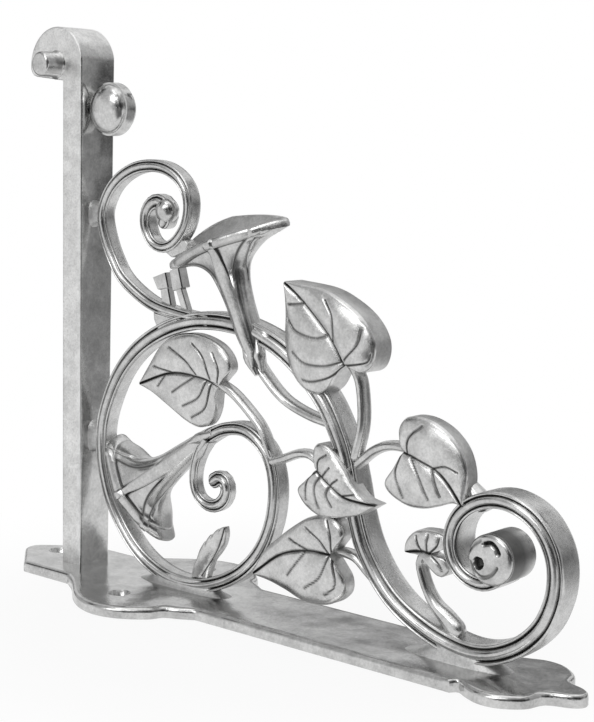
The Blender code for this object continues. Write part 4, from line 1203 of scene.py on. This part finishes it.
def dress_metal(material):
    """Polished cast aluminium with satin flats, sandy spots and painted shade in its grooves."""
    material.use_nodes = True
    tree = material.node_tree
    shader = tree.nodes["Principled BSDF"].inputs
    shader["Metallic"].default_value = 1.0
    where = add(tree, "ShaderNodeTexCoord").outputs["Object"]

    def noise(scale, detail, roughness):
        return add(tree, "ShaderNodeTexNoise", {"Vector": where, "Scale": scale,
                                                "Detail": detail, "Roughness": roughness})

    def calc(operation, *values):
        return add(tree, "ShaderNodeMath", dict(enumerate(values)), operation=operation)

    painted_shade, satin, rough = (add(tree, "ShaderNodeAttribute", attribute_name=mark).outputs["Fac"]
                            for mark in ("painted_shade", "satin", "rough"))
    cloud, stain, speck, grain, wave = (noise(*row) for row in (
        CLOUD_NOISE, STAIN_NOISE, SPECK_NOISE, GRAIN_NOISE, WAVE_NOISE))
    unpolished = calc("MAXIMUM", satin, rough)

    tone = add(tree, "ShaderNodeValToRGB", {"Fac": cloud})
    for element, (position, colour) in zip(tone.color_ramp.elements, METAL_TONES):
        element.position = position
        element.color = colour
    worn = add(tree, "ShaderNodeMapRange", {"Value": stain, "From Min": STAIN_START,
                                            "From Max": STAIN_END, "To Min": STAIN_LEVEL})
    speckled = calc("MULTIPLY_ADD", calc("SUBTRACT", speck, 0.5), SPECK_SHARE, worn)
    level = calc("MULTIPLY_ADD", satin, 1.0 - POLISHED_LEVEL, POLISHED_LEVEL)
    grainy = calc("MULTIPLY_ADD", calc("MULTIPLY", grain, unpolished), -GRAIN_SHARE,
                  calc("MULTIPLY", speckled, level))
    stained = add(tree, "ShaderNodeMix", {"Factor": 1.0, "A": tone,
                  "B": calc("MULTIPLY_ADD", unpolished, UNPOLISHED_LIFT, grainy)},
                  data_type="RGBA", blend_type="MULTIPLY")
    # Where the painted shade mark is set, the base colour goes towards a near black: painted shade
    # in grooves, chased lines, the volute's hole and its side.
    feed(tree, shader["Base Color"], add(
        tree, "ShaderNodeMix", {"Factor": calc("MULTIPLY", painted_shade, PAINTED_SHADE_SHARE),
                                "A": stained, "B": PAINTED_SHADE_COLOUR}, data_type="RGBA"))

    roughness = BASE_ROUGHNESS
    for source, amount in zip((cloud, satin, rough, painted_shade, stain, speck), ROUGHNESS_SHARES):
        roughness = calc("MULTIPLY_ADD", source, amount, roughness)
    feed(tree, shader["Roughness"], roughness)

    soft = add(tree, "ShaderNodeBump", {"Strength": 1.0, "Distance": WAVE_HEIGHT, "Height": wave})
    feed(tree, shader["Normal"], add(tree, "ShaderNodeBump", {
        "Strength": calc("MULTIPLY_ADD", unpolished, UNPOLISHED_GRAIN, POLISHED_GRAIN),
        "Distance": GRAIN_HEIGHT,
        "Height": grain, "Normal": soft}))


dress_metal(polished)
casting_data.materials.clear()
casting_data.materials.append(polished)
for face in casting_data.polygons:
    face.material_index = 0
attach(casting, "root")
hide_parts("bracket_casting")

# The studio.
# A pale paper floor that runs out into white. It is lit near the bracket and glows further off,
# where it has a few darker tones for the polished metal to reflect.

FLOOR_HALF = 4.0
PAPER_COLOUR = (0.8, 0.8, 0.8, 1.0)
PAPER_FADE_START = 0.08
PAPER_FADE_END = 0.22
PAPER_LIT_SHARE = 0.9
PAPER_GLOW = 0.88
PAPER_TONES_START = 0.14
PAPER_TONES_END = 0.32
# Each tone has its direction, where it starts and ends, and its level.
PAPER_TONES = (((0.64, 0.76, 0.0), 0.75, 0.97, 0.3), ((0.64, -0.76, 0.0), 0.7, 0.95, 0.15),
               ((-0.98, 0.2, 0.0), 0.8, 0.98, 0.2))

floor_mesh = bpy.data.meshes.new("studio_floor")
floor_mesh.from_pydata([(x * FLOOR_HALF, y * FLOOR_HALF, 0.0)
                        for x, y in ((-1, -1), (1, -1), (1, 1), (-1, 1))], [], [(0, 1, 2, 3)])
floor = in_scene("studio_floor", floor_mesh)


def ramp(tree, value, start, end, low=0.0, high=1.0):
    """Goes smoothly from low to high as a value goes from start to end."""
    return add(tree, "ShaderNodeMapRange", {"Value": value, "From Min": start, "From Max": end,
                                            "To Min": low, "To Max": high},
               interpolation_type="SMOOTHSTEP")


def lined_up(tree, heading, direction):
    """How far a heading is lined up with a direction, from minus one to one."""
    return add(tree, "ShaderNodeVectorMath", {0: heading, 1: direction}, operation="DOT_PRODUCT")


paper = bpy.data.materials.new("studio_paper")
paper.use_nodes = True
tree = paper.node_tree
paper_shader = tree.nodes["Principled BSDF"]
for name, value in (("Base Color", PAPER_COLOUR), ("Roughness", 0.9), ("Specular IOR Level", 0.1)):
    paper_shader.inputs[name].default_value = value
spot = add(tree, "ShaderNodeTexCoord").outputs["Object"]
reach_out = add(tree, "ShaderNodeVectorMath", {0: spot}, operation="LENGTH")
towards = add(tree, "ShaderNodeVectorMath", {0: spot}, operation="NORMALIZE")
far_off = ramp(tree, reach_out, PAPER_TONES_START, PAPER_TONES_END)
paper_level = PAPER_GLOW
for direction, start, end, level in PAPER_TONES:
    shaded = ramp(tree, lined_up(tree, towards, direction), start, end, high=far_off)
    paper_level = add(tree, "ShaderNodeMix", {"Factor": shaded, "A": paper_level, "B": level})
seen = add(tree, "ShaderNodeLightPath").outputs["Is Camera Ray"]
glow = add(tree, "ShaderNodeEmission", {"Strength": add(
    tree, "ShaderNodeMix", {"Factor": seen, "A": paper_level, "B": 1.0})})
fade_out = ramp(tree, reach_out, PAPER_FADE_START, PAPER_FADE_END, low=PAPER_LIT_SHARE)
feed(tree, tree.nodes["Material Output"].inputs["Surface"],
     add(tree, "ShaderNodeMixShader", {0: fade_out, 1: paper_shader, 2: glow}))
floor_mesh.materials.append(paper)

# The camera.
# It looks at the bracket's front from the side of the toe and a little above. Its place, turn and
# focal length come from the perspective of the arm and the plate in the photograph.

CAMERA_YAW = 0.7001425
CAMERA_PITCH = 0.1339357
CAMERA_ROLL = 0.0204097
CAMERA_FOCUS_PX = 1591.75
CAMERA_CENTRE_PX = (295.291, 359.467)
CAMERA_TARGET = (128.478, 0.0, 107.964)
CAMERA_DISTANCE = 624.26
PICTURE_WIDTH = 594
PICTURE_HEIGHT = 722

ahead = Vector((-math.sin(CAMERA_YAW) * math.cos(CAMERA_PITCH),
                math.cos(CAMERA_YAW) * math.cos(CAMERA_PITCH), -math.sin(CAMERA_PITCH)))
sideways = Vector((math.cos(CAMERA_YAW), math.sin(CAMERA_YAW), 0.0))
upward = sideways.cross(ahead)
right = math.cos(CAMERA_ROLL) * sideways + math.sin(CAMERA_ROLL) * upward
above = math.cos(CAMERA_ROLL) * upward - math.sin(CAMERA_ROLL) * sideways
eye = Vector(CAMERA_TARGET) - ahead * CAMERA_DISTANCE
lens = bpy.data.cameras.new("camera")
camera = in_scene("camera", lens)
rows = zip(right, above, -ahead, in_metres(*eye))
camera.matrix_world = Matrix((*rows, (0.0, 0.0, 0.0, 1.0)))
lens.sensor_fit = "VERTICAL"
lens.sensor_height = 24.0
lens.lens = CAMERA_FOCUS_PX * lens.sensor_height / PICTURE_HEIGHT
lens.shift_x = -(CAMERA_CENTRE_PX[0] - PICTURE_WIDTH / 2) / PICTURE_HEIGHT
lens.shift_y = (CAMERA_CENTRE_PX[1] - PICTURE_HEIGHT / 2) / PICTURE_HEIGHT
lens.clip_start = 0.01
bpy.context.scene.camera = camera

# The room.
# What the polished metal reflects: a grey room with soft bright and dark areas and uneven edges.
# The camera itself sees it as plain white.

ROOM_COLOUR = (0.5, 0.5, 0.5, 1.0)
# Each area has its direction, its inner and outer angle in degrees, and its level.
ROOM_AREAS = (
    ((0.0, 0.0, 1.0), 16.0, 40.0, 1.2),
    ((-0.64, 0.76, 0.13), 14.0, 36.0, 0.85),
    ((-0.64, -0.76, 0.1), 14.0, 34.0, 0.8),
    ((0.12, 0.8, 0.62), 14.0, 30.0, 0.95),
    ((0.64, 0.76, 0.0), 14.0, 34.0, 0.3),
    ((0.95, -0.2, 0.1), 12.0, 34.0, 0.12),
    ((0.64, -0.76, 0.15), 10.0, 30.0, 0.03),
    ((-0.75, -0.2, 0.6), 6.0, 22.0, 0.06),
    ((-0.98, 0.08, 0.2), 8.0, 20.0, 0.08),
    ((0.4, 0.8, 0.38), 5.0, 15.0, 0.06),
    ((-0.45, 0.87, 0.2), 2.0, 8.0, 0.25),
    ((-0.72, 0.41, 0.56), 8.0, 22.0, 0.75),
    ((0.1, -0.8, 0.62), 5.0, 14.0, 3.0),
)
ROOM_UNEVEN = 0.75
ROOM_SCALE = 2.6

world = bpy.data.worlds.new("studio_room")
bpy.context.scene.world = world
world.use_nodes = True
room = world.node_tree
facing = add(room, "ShaderNodeTexCoord").outputs["Generated"]
uneven = add(room, "ShaderNodeTexNoise", {"Vector": facing, "Scale": ROOM_SCALE, "Detail": 2.0})
centred = add(room, "ShaderNodeVectorMath", {0: uneven.outputs["Color"], 1: (0.5, 0.5, 0.5)},
              operation="SUBTRACT")
facing = add(room, "ShaderNodeVectorMath", {0: centred, 1: (ROOM_UNEVEN,) * 3, 2: facing},
             operation="MULTIPLY_ADD")


def room_mix(mask, first, second):
    """Goes from the first colour to the second as a mask goes from zero to one."""
    return add(room, "ShaderNodeMix", {"Factor": mask, "A": first, "B": second}, data_type="RGBA")


room_tone = ROOM_COLOUR
for direction, inner, outer, level in ROOM_AREAS:
    edge = ramp(room, lined_up(room, facing, Vector(direction).normalized()),
                math.cos(math.radians(outer)), math.cos(math.radians(inner)))
    room_tone = room_mix(edge, room_tone, (level, level, level, 1.0))
seen = add(room, "ShaderNodeLightPath").outputs["Is Camera Ray"]
feed(room, room.nodes["Background"].inputs["Color"],
     room_mix(seen, room_tone, (1.0, 1.0, 1.0, 1.0)))
bpy.context.scene.view_settings.view_transform = "Standard"
